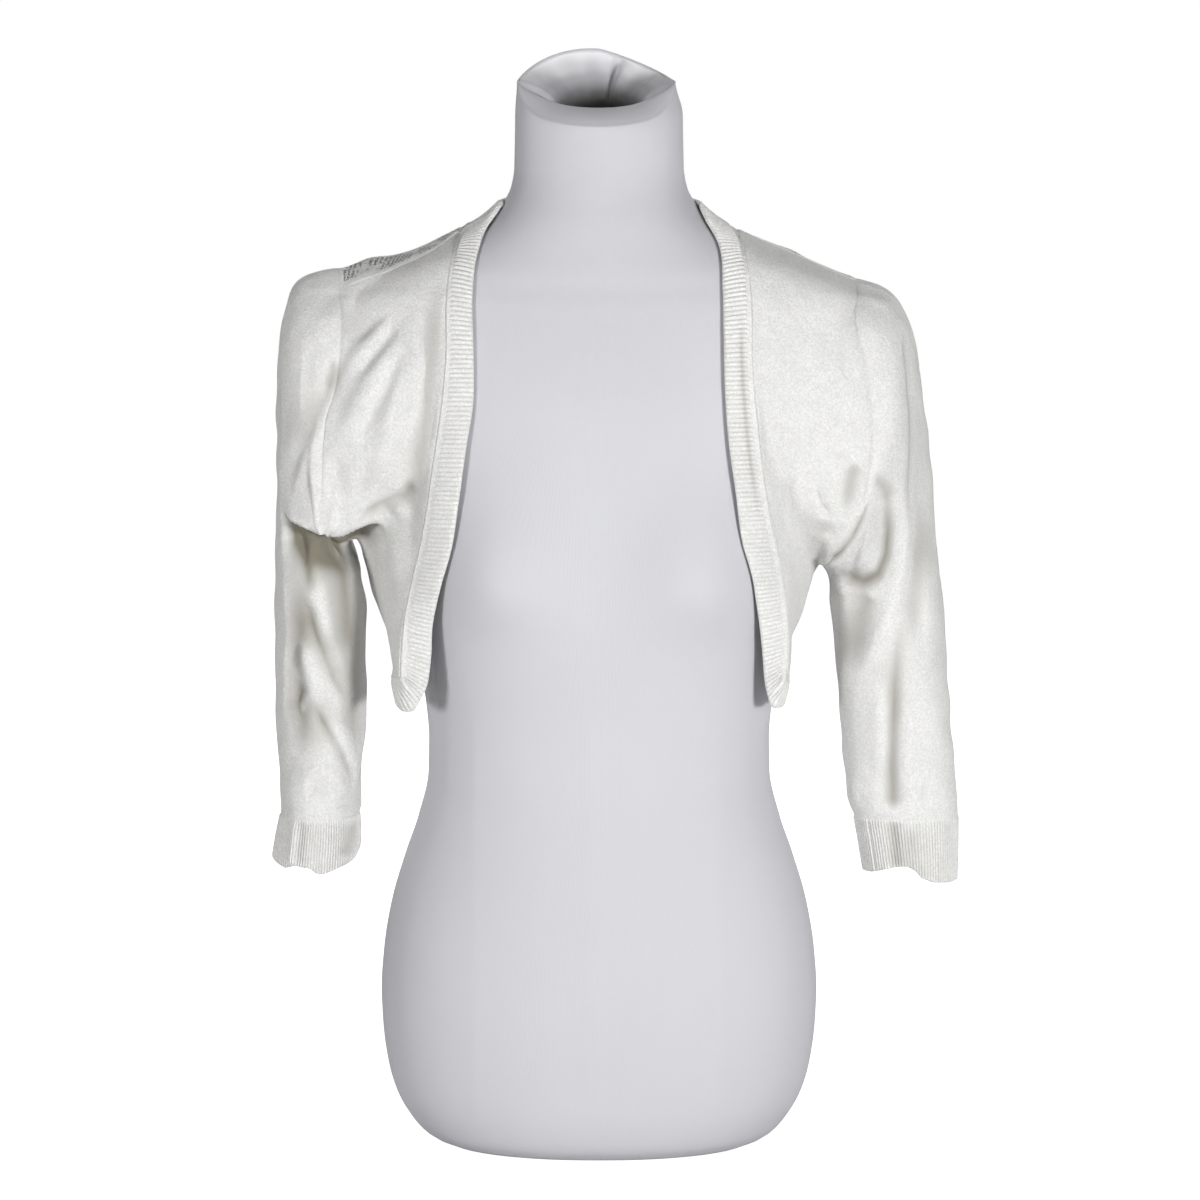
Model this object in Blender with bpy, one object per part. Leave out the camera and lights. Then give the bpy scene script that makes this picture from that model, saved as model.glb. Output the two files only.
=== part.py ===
"""A fine-knit shrug with three-quarter sleeves, worn by a limbless dress form.

The wearer faces -Y, so the wearer's left is at +X. Lengths are in millimetres up to the meshes, which
are in metres. The origin is the middle of the form's flat underside.

The garment is cut as it would be sewn: two fronts, a back, two sleeves with ribbed cuffs, a ribbed
band up each front edge and round the neck, and a ribbed hem. Seams are curves that the pieces on
both sides share. A piece is a grid of points between its seams, and its wall grows outwards.
"""

import math

import bpy
import numpy as np

# ---------------------------------------------------------------- driving sizes, in millimetres
MILLIMETRE = 0.001
SEAM_INSET = 0.17  # half of the gap that two sewn pieces keep
CLOTH = 1.5  # wall of the plain knit and of the back's lace
RIB_VALLEY = 1.9  # wall of the rib knit, in a valley
RIB_RIDGE = 2.5  # and on a ridge
RIB_PITCH = 3.1  # from one rib to the next
CUFF_RIBS = 72
SEAT = 2.3  # how close the cloth's inside comes to the form
NECK_SEAT, BACK_SEAT = 1.7, 3.6

SIDE_ROWS = 7  # grid rows beside the side seam
ARM_ROWS = 12  # grid rows beside half of an armhole
FRONT_COLUMNS = 8
NECK_COLUMNS = 6  # from the shoulder seam to the middle of the back neck
CAP_ROWS = 8  # sleeve rows above the underarm
TUBE_ROWS = 6  # sleeve rows from the underarm to the cuff
CUFF_ROWS = 2
FORM_SEGMENTS = 28

WEARERS_SIDES = {"right": -1.0, "left": 1.0}

MATERIALS = {  # colour in linear light, roughness
    "fine_knit": ((0.84, 0.83, 0.79), 0.85),
    "rib_knit": ((0.85, 0.84, 0.80), 0.88),
    "lace": ((0.83, 0.82, 0.78), 0.85),
    "form_jersey": ((0.60, 0.61, 0.66), 0.9),
}
MATERIAL_OF = {"front": "fine_knit", "sleeve": "fine_knit", "back": "lace"}

# ---------------------------------------------------------------- the dress form
# height, half width, depth to the front, depth to the back
FORM_SECTIONS = np.array([
    (0, 92, 58, 74),
    (4, 112, 73, 92),
    (12, 127.5, 85, 107),
    (24, 138, 92, 116),
    (40, 147, 97, 122),
    (60, 153, 100, 126),
    (90, 157, 103, 129),
    (115, 158, 104, 130),
    (145, 156, 103, 126),
    (178, 150.5, 99, 117),
    (214, 140, 93, 104),
    (240, 131, 89, 96),
    (275, 123.2, 85, 88),
    (300, 122.8, 86, 87),
    (322, 124.5, 89, 88),
    (345, 128, 94, 91),
    (370, 133, 99, 94),
    (400, 139, 103, 98),
    (425, 143, 104, 100),
    (450, 147, 103, 103),
    (480, 153, 101, 106),
    (510, 162, 98, 108),
    (540, 174, 94, 109),
    (565, 186, 88, 108),
    (585, 192, 82, 105),
    (600, 193, 77, 100),
    (612, 188, 73, 96),
    (622, 176, 69, 93),
    (632, 156, 66, 90),
    (641, 133, 63, 87),
    (650, 113, 60, 85),
    (660, 95, 57, 82),
    (670, 81, 54, 78),
    (680, 72, 51, 73),
    (692, 64, 48.5, 68),
    (705, 60.5, 47, 65),
    (720, 59.5, 46, 63),
    (800, 59, 45, 61),
], float)
TORSO_EXPONENT = 2.3  # a little squarer than an ellipse
NECK_BASE = 705.0  # where the rings start to slant
RIM_HEIGHT, RIM_SLANT = 766.5, 0.455  # top of the neck's rim above the middle, and its rise towards the back
LIP_RADIUS = 7.0
POCKET = [(18, 0.62), (38, 0.36), (58, 0.2)]  # depth below the rim and share of the neck's width
BUST_OUT, BUST_HEIGHT = 19.0, 418.0
BUST_APART = 148.0
BUST_SPREAD = 42.0
BUST_ABOVE, BUST_BELOW = 62.0, 34.0

# ---------------------------------------------------------------- the seams: x away from the middle, y, z
# from the middle of the back neck, over the shoulder and down the front, to the front corner of the hem
SHOULDER_KEY = 4  # the point of both curves where the shoulder seam is
FREE_EDGE = {
    "right": [
        (0, 71, 692), (34, 62, 691), (60, 40, 688), (70, 8, 684), (70, -20, 681), (78, -31, 669),
        (85, -51, 648), (88, -68, 618), (87, -80, 580), (87, -88, 543), (92, -92, 511),
        (97, -97, 475), (102, -101, 443), (110, -97, 415), (116, -90, 388), (118, -87, 360),
        (121, -86, 343), (126, -85, 333),
    ],
    "left": [
        (0, 71, 692), (34, 62, 691), (60, 40, 688), (70, 12, 684), (70, -12, 681), (76, -29, 672),
        (84, -46, 653), (86, -66, 622), (86.5, -79, 588), (87, -87, 553), (90, -92, 513),
        (94, -96, 485), (99, -101, 448), (107, -96, 417), (112, -87, 388), (115, -81, 362),
        (116.5, -77, 346), (119, -75, 334),
    ],
}
BAND_SEAM = {
    "right": [
        (0, 88, 675), (46, 80, 673), (78, 52, 669), (94, 12, 665), (99, -21, 660), (103, -48, 644),
        (106, -66, 615), (106, -78, 575), (109, -83, 540), (114, -84, 505), (119, -84, 470),
        (124, -82, 443), (131, -78, 415), (136, -79, 390), (138.5, -82, 366), (139, -83, 351),
    ],
    "left": [
        (0, 88, 675), (46, 80, 673), (76, 52, 669), (92, 16, 666), (98, -8, 662), (103, -46, 645),
        (106, -66, 615), (106.5, -80, 565), (110, -84, 525), (114, -85, 490), (120, -83, 455),
        (127, -79, 422), (131, -76, 396), (132.5, -74, 374), (131, -71, 350),
    ],
}
SHOULDER_SEAM = {  # from the neck to the shoulder's tip
    "right": [(99, -21, 660), (117, -21, 651), (143, -21, 642), (165, -20, 636), (184, -18, 628)],
    "left": [(98, -8, 662), (117, -8, 653), (143, -9, 642), (165, -9, 632), (182, -9, 625)],
}
ARMHOLE_FRONT = {  # from the underarm to the shoulder's tip
    "right": [
        (173, -8, 444), (184, -37, 443), (193, -54, 453), (194.5, -60, 480), (192, -60, 520),
        (189.5, -56, 560), (188, -43, 600), (184, -18, 628),
    ],
    "left": [
        (157, -4, 424), (163, -34, 429), (173, -50, 441), (182, -57, 459), (187, -60, 482),
        (191, -61, 515), (188, -57, 560), (181, -40, 602), (182, -9, 625),
    ],
}
ARMHOLE_BACK = {  # from the underarm to the shoulder's tip
    "right": [
        (173, -8, 444), (179, 26, 455), (185, 47, 488), (188, 56, 530), (189, 54, 575), (188, 34, 613),
        (186, 6, 632), (184, -18, 628),
    ],
    "left": [
        (157, -4, 424), (167, 26, 442), (180, 47, 478), (187, 57, 525), (188, 55, 572), (186, 36, 608),
        (184, 12, 625), (182, -9, 625),
    ],
}
SIDE_SEAM = {  # from the hem to the underarm
    "right": [(142.5, 3, 351), (152.5, 1, 378), (162, -2, 405), (167, -5, 428), (169, -7, 437), (173, -8, 444)],
    "left": [(128, 3, 350), (136, 1, 368), (146, -1, 392), (151, -3, 410), (153, -4, 418), (157, -4, 424)],
}
SIDE_SHARES = [0, 0.18, 0.36, 0.54, 0.7, 0.82, 0.92, 1]
HEM_SEAM_FRONT = {  # from the front band to the side seam
    "right": [(139, -83, 351), (143, -71, 350), (145, -35, 351), (142.5, 3, 351)],
    "left": [(131, -71, 350), (133, -58, 350), (132, -28, 350), (128, 3, 350)],
}
HEM_EDGE_FRONT = {
    "right": [(126, -85, 333), (130, -85, 327), (135, -80, 326), (139, -68, 327), (142, -35, 329), (140, 3, 330)],
    "left": [(119, -75, 334), (122, -74, 328), (126, -66, 327), (129, -52, 328), (129.5, -28, 329), (127, 3, 330)],
}
HEM_SEAM_BACK = {  # from the side seam to the middle of the back
    "right": [(142.5, 3, 351), (137, 45, 353), (110, 79, 356), (58, 97, 358), (0, 102, 359)],
    "left": [(128, 3, 350), (125.5, 44, 352), (106, 75, 355), (58, 95, 358), (0, 102, 359)],
}
HEM_EDGE_BACK = {
    "right": [(140, 3, 330), (135, 45, 333), (108, 78, 336), (57, 95, 338), (0, 100, 339)],
    "left": [(127, 3, 330), (124, 44, 332), (105, 74, 335), (57, 94, 338), (0, 100, 339)],
}

# ---------------------------------------------------------------- the sleeves, measured outside
# height, middle x, middle y, half width, half depth, from just under the armpit down to the cuff's seam
SLEEVE_SECTIONS = {
    "right": [
        (415, 201.9, 1, 30.5, 57), (385, 200.8, 1, 32.2, 54), (330, 200.5, 1, 32.5, 47),
        (276, 201.3, 0, 30.0, 42), (243, 201.8, -1, 28.5, 38),
    ],
    "left": [
        (398, 206.8, 0, 40.7, 49), (384, 208.2, 0, 40.5, 48), (340, 211.8, 0, 40.2, 42),
        (310, 214.1, -1, 39.7, 37), (257, 219.5, -2, 39.6, 30), (242, 222.0, -2, 37.8, 29),
    ],
}
CUFF_SECTIONS = {
    "right": [(243, 201.8, -1, 28.5, 38), (226, 203.4, -1, 30.6, 35), (211.5, 205.0, -1, 31.6, 33)],
    "left": [(242, 222.0, -2, 37.8, 29), (220, 224.0, -2, 35.8, 29), (199, 225.4, -2, 33.9, 30)],
}
# the cuff's lower edge: (waves round, turn in radians, height) in millimetres
CUFF_WAVES = {
    "right": [(1, 0.95, 5.0), (2, 0.0, 3.0), (5, 1.0, 0.8)],
    "left": [(1, -0.79, 5.6), (2, 3.14, 3.0), (4, 0.6, 1.2)],
}
# how far the sleeve runs outwards from its seam before it falls, in all and as a share of the way out
CAP_START, CAP_REACH = {"right": 14.0, "left": 3.0}, {"right": 0.87, "left": 0.58}
CAP_LEAN = {"right": 4.0, "left": 22.0}  # how much its outer side leans in towards the shoulder
CAP_HANG_TIP, CAP_HANG_UNDER = 0.91, 0.5
CAP_CROWD = 1.5  # sleeve rows lie closer together beside the shoulder

# ---------------------------------------------------------------- the largest folds
# line of (x away from the middle, z), how far it reaches across, height (a trough is negative)
FOLD_FADE = 0.4  # share of a fold that is left in the row beside a seam
FOLDS = {
    "front_right": [
        ([(148, 584), (166, 539), (180, 506), (188, 476)], 9, 3.0),
        ([(141, 577), (152, 549), (166, 518), (180, 488)], 8, -2.5),
        ([(141, 530), (155, 509), (170, 486)], 10, 3.0),
        ([(133, 485), (145, 476), (164, 468)], 8, -3.5),
        ([(134, 466), (150, 457)], 8, 3.0),
    ],
    "front_left": [
        ([(144, 525), (154, 483), (166, 464)], 10, 2.5),
        ([(139, 495), (132, 478), (133, 459)], 9, 2.0),
        ([(178, 499), (174, 459)], 8, -3.0),
    ],
    "sleeve_right": [
        ([(190, 532), (199, 518), (212, 488), (221, 469)], 9, -3.5),
        ([(217, 464), (203, 460)], 11, 5.0),
        ([(212, 440), (198, 436), (182, 436)], 11, -5.0),
        ([(203, 438), (200, 419), (198, 396), (193, 374), (188, 355), (185, 332)], 10, -3.5),
        ([(218, 386), (210, 369), (201, 355), (192, 334), (182, 320), (175, 298), (173, 272)], 10, 3.5),
        ([(213, 334), (208, 317)], 9, -3.0),
        ([(197, 327), (185, 308), (180, 291), (179, 270)], 9, 2.5),
    ],
    "sleeve_left": [
        ([(187, 488), (188, 452), (189, 425)], 9, 6.0),
        ([(201, 470), (203, 450), (198, 424), (187, 413), (177, 418)], 9, -5.0),
        ([(209, 476), (213, 446), (210, 420)], 9, 3.5),
        ([(197, 409), (188, 389), (178, 371)], 12, -4.0),
        ([(203, 389), (193, 360), (190, 325)], 11, 3.0),
        ([(209, 346), (211, 296), (211, 256)], 9, -5.0),
    ],
    "back": [
        ([(-172, 470), (-128, 500), (-96, 560)], 14, 4.0),
        ([(-166, 448), (-120, 462), (-84, 500)], 13, -3.0),
        ([(170, 462), (126, 492), (92, 548)], 14, 4.0),
        ([(160, 436), (118, 455), (80, 498)], 13, -3.0),
        ([(-60, 430), (-10, 420), (52, 432)], 16, 3.0),
    ],
}
BACK_OF_SLEEVE_FOLDS = [  # out of sight on both sleeves
    ([(186, 520), (200, 480), (214, 445)], 12, 3.5),
    ([(182, 450), (196, 415), (212, 396)], 11, -3.5),
    ([(214, 395), (200, 360), (186, 318)], 12, 3.5),
    ([(190, 300), (206, 278)], 10, -2.5),
]


# ---------------------------------------------------------------- curves
def smooth_value(query, knots, values):
    """Cubic through a table that never overshoots it."""
    query, knots, values = (np.asarray(a, float) for a in (query, knots, values))
    step = np.diff(knots)
    slope = np.diff(values) / step
    before, after = slope[:-1], slope[1:]
    weight_before, weight_after = 2 * step[1:] + step[:-1], step[1:] + 2 * step[:-1]
    turning = before * after <= 0
    safe_before, safe_after = np.where(turning, 1.0, before), np.where(turning, 1.0, after)
    mean = (weight_before + weight_after) / (weight_before / safe_before + weight_after / safe_after)
    tangent = np.concatenate([slope[:1], np.where(turning, 0.0, mean), slope[-1:]])
    i = np.clip(np.searchsorted(knots, query) - 1, 0, len(knots) - 2)
    t = np.clip((query - knots[i]) / step[i], 0, 1)
    return (
        (1 + 2 * t) * (1 - t) ** 2 * values[i]
        + t * (1 - t) ** 2 * step[i] * tangent[i]
        + t * t * (3 - 2 * t) * values[i + 1]
        + t * t * (t - 1) * step[i] * tangent[i + 1]
    )


def dense_curve(keys, per_stretch=40):
    """Smooth curve through the keys, with per_stretch steps between one key and the next."""
    keys = np.asarray(keys, float)
    knots = np.concatenate([[0], np.cumsum(np.linalg.norm(np.diff(keys, axis=0), axis=1))])
    stretch = np.diff(knots)
    slope = np.diff(keys, axis=0) / stretch[:, None]
    tangent = np.empty_like(keys)
    tangent[1:-1] = (slope[:-1] * stretch[1:, None] + slope[1:] * stretch[:-1, None]) / (
        stretch[:-1] + stretch[1:]
    )[:, None]
    tangent[0], tangent[-1] = slope[0], slope[-1]
    points = []
    for i, length in enumerate(stretch):
        t = (np.arange(per_stretch) / per_stretch)[:, None]
        points.append(
            (1 + 2 * t) * (1 - t) ** 2 * keys[i]
            + t * (1 - t) ** 2 * length * tangent[i]
            + t * t * (3 - 2 * t) * keys[i + 1]
            + t * t * (t - 1) * length * tangent[i + 1]
        )
    return np.vstack(points + [keys[-1:]])


def along(curve, shares):
    """Points of a dense curve at the given shares of its length."""
    lengths = np.concatenate([[0], np.cumsum(np.linalg.norm(np.diff(curve, axis=0), axis=1))])
    target = np.asarray(shares, float) * lengths[-1]
    return np.stack([np.interp(target, lengths, curve[:, axis]) for axis in range(3)], axis=1)


def even(count):
    return np.arange(count + 1) / count


def placed(keys, side):
    """The keys of one side of the garment, with x signed."""
    return np.asarray(keys, float) * (WEARERS_SIDES[side], 1, 1)


# ---------------------------------------------------------------- the form as a surface to lie on
def form_section(z):
    return [smooth_value(z, FORM_SECTIONS[:, 0], FORM_SECTIONS[:, column]) for column in (1, 2, 3)]


def form_exponent(z):
    return np.where(np.asarray(z) > 690, 2.0, TORSO_EXPONENT)


def bust_swell(x, z):
    rise = np.where(z > BUST_HEIGHT, BUST_ABOVE, BUST_BELOW)
    across = (np.abs(x) - BUST_APART / 2) / BUST_SPREAD
    return BUST_OUT * np.exp(-(across**2) - ((z - BUST_HEIGHT) / rise) ** 2)


def form_level(points):
    """0 on the form, negative inside it."""
    x, y, z = np.moveaxis(points, -1, 0)
    width, front, back = form_section(z)
    depth = np.where(y < 0, front, back)
    y = y + bust_swell(x, z) * np.clip(-y / 50, 0, 1)
    power = form_exponent(z)
    return ((np.abs(x) / width) ** power + (np.abs(y) / depth) ** power) ** (1 / power) - 1


def form_clearance(points):
    """Distance off the form and the direction away from it."""
    points = np.asarray(points, float)
    step = 0.5
    slope = np.stack(
        [(form_level(points + axis) - form_level(points - axis)) / (2 * step) for axis in np.eye(3) * step],
        axis=-1,
    )
    steepness = np.linalg.norm(slope, axis=-1)
    return form_level(points) / steepness, slope / steepness[..., None]


def clear_of_form(points, least=SEAT):
    """Move what is nearer than the least distance out to it."""
    for _ in range(6):
        distance, away = form_clearance(points)
        points = points + away * np.maximum(0, least - distance)[..., None]
    return points


def laid_on_form(points, distance_wanted):
    """Move points in or out to a distance off the form."""
    for _ in range(10):
        distance, away = form_clearance(points)
        points = points + away * (np.asarray(distance_wanted) - distance)[..., None]
    return points


def seated_edge(points, seat=SEAT):
    """An edge that lies on the form round the neck and only keeps clear of it lower down."""
    distance, _ = form_clearance(points)
    share = np.clip((points[:, 2] - 560) / 80, 0, 1)
    wanted = np.where(distance > seat, seat * share + distance * (1 - share), seat)
    return laid_on_form(points, wanted)


# ---------------------------------------------------------------- seams shared by the pieces of one side
class SideSeams:
    """Every seam and free edge of one half of the garment, as points from one end to the other."""

    def __init__(self, side):
        rows = SIDE_ROWS + ARM_ROWS
        seam, edge = (dense_curve(placed(table[side], side)) for table in (BAND_SEAM, FREE_EDGE))
        split = SHOULDER_KEY * 40
        self.neck_seam = seated_edge(along(seam[: split + 1], even(NECK_COLUMNS)), (SEAT + BACK_SEAT) / 2)  # middle to shoulder
        self.front_seam = seated_edge(along(seam[split:], even(rows)))[::-1]  # hem to shoulder
        self.neck_edge = seated_edge(along(edge[: split + 1], even(NECK_COLUMNS)), NECK_SEAT)
        self.front_edge = seated_edge(along(edge[split:], even(rows)))[::-1]

        def cut(table, shares):
            return clear_of_form(along(dense_curve(placed(table[side], side)), shares))

        self.shoulder = cut(SHOULDER_SEAM, even(FRONT_COLUMNS))  # neck to tip
        self.armhole_front = cut(ARMHOLE_FRONT, even(ARM_ROWS))  # underarm to tip
        self.armhole_back = cut(ARMHOLE_BACK, even(ARM_ROWS))
        self.side = cut(SIDE_SEAM, SIDE_SHARES)  # hem to underarm
        self.hem_front = cut(HEM_SEAM_FRONT, even(FRONT_COLUMNS))  # band to side
        self.hem_front_edge = cut(HEM_EDGE_FRONT, even(FRONT_COLUMNS))
        self.hem_back = cut(HEM_SEAM_BACK, even(FRONT_COLUMNS + NECK_COLUMNS))  # side to middle
        self.hem_back_edge = cut(HEM_EDGE_BACK, even(FRONT_COLUMNS + NECK_COLUMNS))
        self.join()

    def join(self):
        """Give seams that meet in a point that same point."""
        tip, underarm = self.armhole_front[-1], self.armhole_front[0]
        neck = self.neck_seam[-1]
        self.front_seam[-1] = self.shoulder[0] = neck
        self.front_edge[-1] = self.neck_edge[-1]
        self.shoulder[-1] = self.armhole_back[-1] = tip
        self.armhole_back[0] = self.side[-1] = underarm
        self.hem_front[0] = self.front_seam[0]
        self.hem_front_edge[0] = self.front_edge[0]
        self.hem_front[-1] = self.hem_back[0] = self.side[0]
        self.hem_back_edge[0] = self.hem_front_edge[-1]

    def armhole(self):
        """Closed ring: underarm, up the front, the tip, down the back."""
        return np.vstack([self.armhole_front, self.armhole_back[-2:0:-1]])


def filled(left, right, bottom, top):
    """Grid of points between four edges, rows from bottom to top and columns from left to right."""
    rows, columns = len(left) - 1, len(bottom) - 1
    v = even(rows)[:, None, None]
    u = even(columns)[None, :, None]
    ruled_up = (1 - v) * bottom[None] + v * top[None]
    ruled_across = (1 - u) * left[:, None] + u * right[:, None]
    corners = (
        (1 - v) * ((1 - u) * bottom[0] + u * bottom[-1]) + v * ((1 - u) * top[0] + u * top[-1])
    )
    return ruled_up + ruled_across - corners


def with_edges_of(grid, original):
    grid = grid.copy()
    for place in (np.s_[0, :], np.s_[-1, :], np.s_[:, 0], np.s_[:, -1]):
        grid[place] = original[place]
    return grid


def distance_from_line(x, z, line):
    """Distance in the front view of points from a line of several stretches."""
    nearest = np.full(np.shape(x), np.inf)
    for (x0, z0), (x1, z1) in zip(line[:-1], line[1:]):
        along_x, along_z = x1 - x0, z1 - z0
        share = np.clip(((x - x0) * along_x + (z - z0) * along_z) / (along_x**2 + along_z**2), 0, 1)
        nearest = np.minimum(nearest, np.hypot(x - x0 - share * along_x, z - z0 - share * along_z))
    return nearest


def folded(grid, normals, folds, sign=1.0, facing=-1.0):
    """Raise ridges and sink troughs in a grid, leaving its outer rows and columns where they are."""
    relief = np.zeros(grid.shape[:2])
    for line, reach, height in folds:
        away = distance_from_line(grid[..., 0] * sign, grid[..., 2], line)
        relief += height * np.exp(-((away / reach) ** 2))
    relief *= np.clip(normals[..., 1] * facing * 2.5, 0, 1)
    relief[[1, -2]] *= FOLD_FADE
    return grid + normals * relief[..., None]


def front_grid(seams):
    outer = np.vstack([seams.side, seams.armhole_front[1:]])
    grid = filled(seams.front_seam, outer, seams.hem_front, seams.shoulder)
    return with_edges_of(clear_of_form(grid), grid)


def back_grid(right, left):
    """Columns from the wearer's right to the left, rows from the hem to the neck."""
    hem = np.vstack([right.hem_back, left.hem_back[-2::-1]])
    top = np.vstack([right.shoulder[::-1], right.neck_seam[-2::-1], left.neck_seam[1:], left.shoulder[1:]])
    columns = len(hem) - 1
    shares = even(columns)
    # the row at the underarms goes round the form's back
    turn = np.radians(np.interp(shares, [0, 1], [180, 0]))
    height = np.interp(shares, [0, 1], [right.side[-1][2], left.side[-1][2]])
    width, _, depth = form_section(height)
    power = 2 / TORSO_EXPONENT
    lie = np.stack([
        width * np.sign(np.cos(turn)) * np.abs(np.cos(turn)) ** power,
        depth * np.abs(np.sin(turn)) ** power,
        height,
    ], axis=1)
    off = 4 + 30 * np.abs(2 * shares - 1) ** 6
    lie = laid_on_form(lie, off)
    pull_start = (right.side[-1] - lie[0]) * np.maximum(0, 1 - 5 * shares)[:, None] ** 2
    pull_end = (left.side[-1] - lie[-1]) * np.maximum(0, 5 * shares - 4)[:, None] ** 2
    middle = lie + pull_start + pull_end
    lower = filled(right.side, left.side, hem, middle)
    upper = filled(right.armhole_back, left.armhole_back, middle, top)
    distance_edges, _ = form_clearance(upper)
    across = np.abs(2 * shares - 1)[None, :] ** 1.3
    wanted = BACK_SEAT + np.clip(distance_edges - BACK_SEAT, 0, 25) * across
    inner = laid_on_form(upper, wanted)
    upper = with_edges_of(inner, upper)
    lower = with_edges_of(clear_of_form(lower, BACK_SEAT), lower)
    return np.vstack([lower, upper[1:]])


def tube_ring(section, turn):
    """Ring of a sleeve: turn 0 is beside the body, a quarter turn is the front."""
    height, middle_x, middle_y, width, depth = section
    return np.stack([
        middle_x - (width - CLOTH) * np.cos(turn),
        middle_y - (depth - CLOTH) * np.sin(turn),
        np.full_like(turn, height),
    ], axis=1)


def section_at(table, height):
    table = np.asarray(table, float)[::-1]
    return [height] + [float(smooth_value(height, table[:, 0], table[:, column])) for column in (1, 2, 3, 4)]


def sleeve_grid(seams, side):
    """Rows from the armhole down, columns round from the underarm by the front."""
    ring = seams.armhole() * (WEARERS_SIDES[side], 1, 1)
    around = len(ring)
    turn = 2 * math.pi * np.arange(around) / around
    table = SLEEVE_SECTIONS[side]
    top = tube_ring(table[0], turn)
    upness = (1 - np.cos(turn)) / 2
    start = np.stack([
        CAP_START[side] + CAP_REACH[side] * np.maximum(0, top[:, 0] - ring[:, 0] - CAP_START[side]),
        -4.5 * np.sin(turn),
        2.0 * upness,
    ], axis=1)
    fall = ring[:, 2] - top[:, 2]
    hang = CAP_HANG_UNDER + (CAP_HANG_TIP - CAP_HANG_UNDER) * upness
    end = np.stack([-CAP_LEAN[side] * upness**2, np.zeros(around), fall * hang], axis=1)
    t = np.linspace(0, 1, 61)[:, None, None]
    paths = (
        (1 - t) ** 3 * ring + 3 * t * (1 - t) ** 2 * (ring + start) + 3 * t * t * (1 - t) * (top + end) + t**3 * top
    )
    cap = np.stack([
        along(paths[:, column], even(CAP_ROWS) ** (1 + (CAP_CROWD - 1) * upness[column]))
        for column in range(around)
    ], axis=1)
    cap = with_rows_of(clear_of_form(cap), cap, (0,))
    low = table[-1][0]
    heights = np.linspace(table[0][0], low, TUBE_ROWS + 1)[1:]
    tube = np.stack([tube_ring(section_at(table, height), turn) for height in heights])
    return np.concatenate([cap, tube]) * (WEARERS_SIDES[side], 1, 1)


def with_rows_of(grid, original, rows):
    grid = grid.copy()
    for row in rows:
        grid[row] = original[row]
    return grid


def cuff_grid(side):
    around = 2 * ARM_ROWS
    turn = 2 * math.pi * np.arange(around) / around
    table = CUFF_SECTIONS[side]
    heights = np.linspace(table[0][0], table[-1][0], CUFF_ROWS + 1)
    rows = []
    for share, height in zip(even(CUFF_ROWS), heights):
        ring = tube_ring(section_at(table, height), turn)
        for waves, phase, rise in CUFF_WAVES[side]:
            ring[:, 2] += share**2 * rise * np.cos(waves * turn + phase)
        rows.append(ring)
    return np.stack(rows) * (WEARERS_SIDES[side], 1, 1)


def strip_grid(seam, edge):
    """Ribbed strip of two rows of cells between a seam and a free edge, kept off the form."""
    middle = (seam + edge) / 2
    return np.stack([seam, seated_edge(middle), edge])


# ---------------------------------------------------------------- walls
def grid_normals(grid, around, outside):
    """Unit normals of a grid, turned so that they point away from the given middle points."""
    if around:
        across = np.roll(grid, -1, axis=1) - np.roll(grid, 1, axis=1)
    else:
        across = np.gradient(grid, axis=1)
    up = np.gradient(grid, axis=0)
    normal = np.cross(across, up)
    normal /= np.linalg.norm(normal, axis=-1, keepdims=True)
    if np.sum(normal * (grid - outside)) < 0:
        normal = -normal
    return normal


def key_of(point):
    return tuple(np.round(point, 2))


class Seamwork:
    """Shared wall directions and insets, so that two sewn pieces face each other across an even gap."""

    def __init__(self):
        self.sums = {}
        self.run = {}

    def add_normals(self, grid, normals):
        edge = np.zeros(grid.shape[:2], bool)
        edge[0], edge[-1], edge[:, 0], edge[:, -1] = True, True, True, True
        for point, normal in zip(grid[edge], normals[edge]):
            key = key_of(point)
            self.sums[key] = self.sums.get(key, 0) + normal

    def add_seam(self, points, closed=False):
        if closed:
            run = np.roll(points, -1, axis=0) - np.roll(points, 1, axis=0)
        else:
            run = np.gradient(points, axis=0)
        run = run / np.linalg.norm(run, axis=1, keepdims=True)
        for point, direction in zip(points, run):
            self.run.setdefault(key_of(point), []).append(direction)

    def normal(self, point):
        total = self.sums[key_of(point)]
        return total / np.linalg.norm(total)


def sewn(seamwork, grid, normals, seams, around=False):
    """Move a piece's seam points inwards by the inset and give them the shared wall directions.

    seams lists the sewn edges as arrays of (row, column) pairs, in order along the edge.
    """
    grid, walls = grid.copy(), normals.copy()
    original = grid.copy()
    rows, columns = grid.shape[:2]
    middle = grid.reshape(-1, 3).mean(axis=0)
    pushes = {}
    for edge in seams:
        edge = [tuple(place) for place in edge]
        closed = around and len(edge) == columns
        points = np.array([original[place] for place in edge])
        if closed:
            run = np.roll(points, -1, axis=0) - np.roll(points, 1, axis=0)
        else:
            run = np.gradient(points, axis=0)
        for place, direction, point in zip(edge, run, points):
            normal = seamwork.normal(point)
            inward = np.cross(normal, direction)
            inward /= np.linalg.norm(inward)
            row, column = place
            neighbour_row = row + (1 if row == 0 else -1) if row in (0, rows - 1) else row
            neighbour_column = column + (1 if column == 0 else -1) if column in (0, columns - 1) and not around else column
            neighbour = original[neighbour_row, neighbour_column % columns]
            if np.dot(inward, neighbour - point) < 0:
                inward = -inward
            pushes.setdefault(place, []).append(inward)
            walls[place] = normal
    for place, directions in pushes.items():
        if len(directions) == 1:
            move = directions[0]
        else:
            first, second = directions[:2]
            move = (first + second) / max(0.35, 1 + np.dot(first, second))
        grid[place] = grid[place] + SEAM_INSET * move
    return grid, walls


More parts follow.
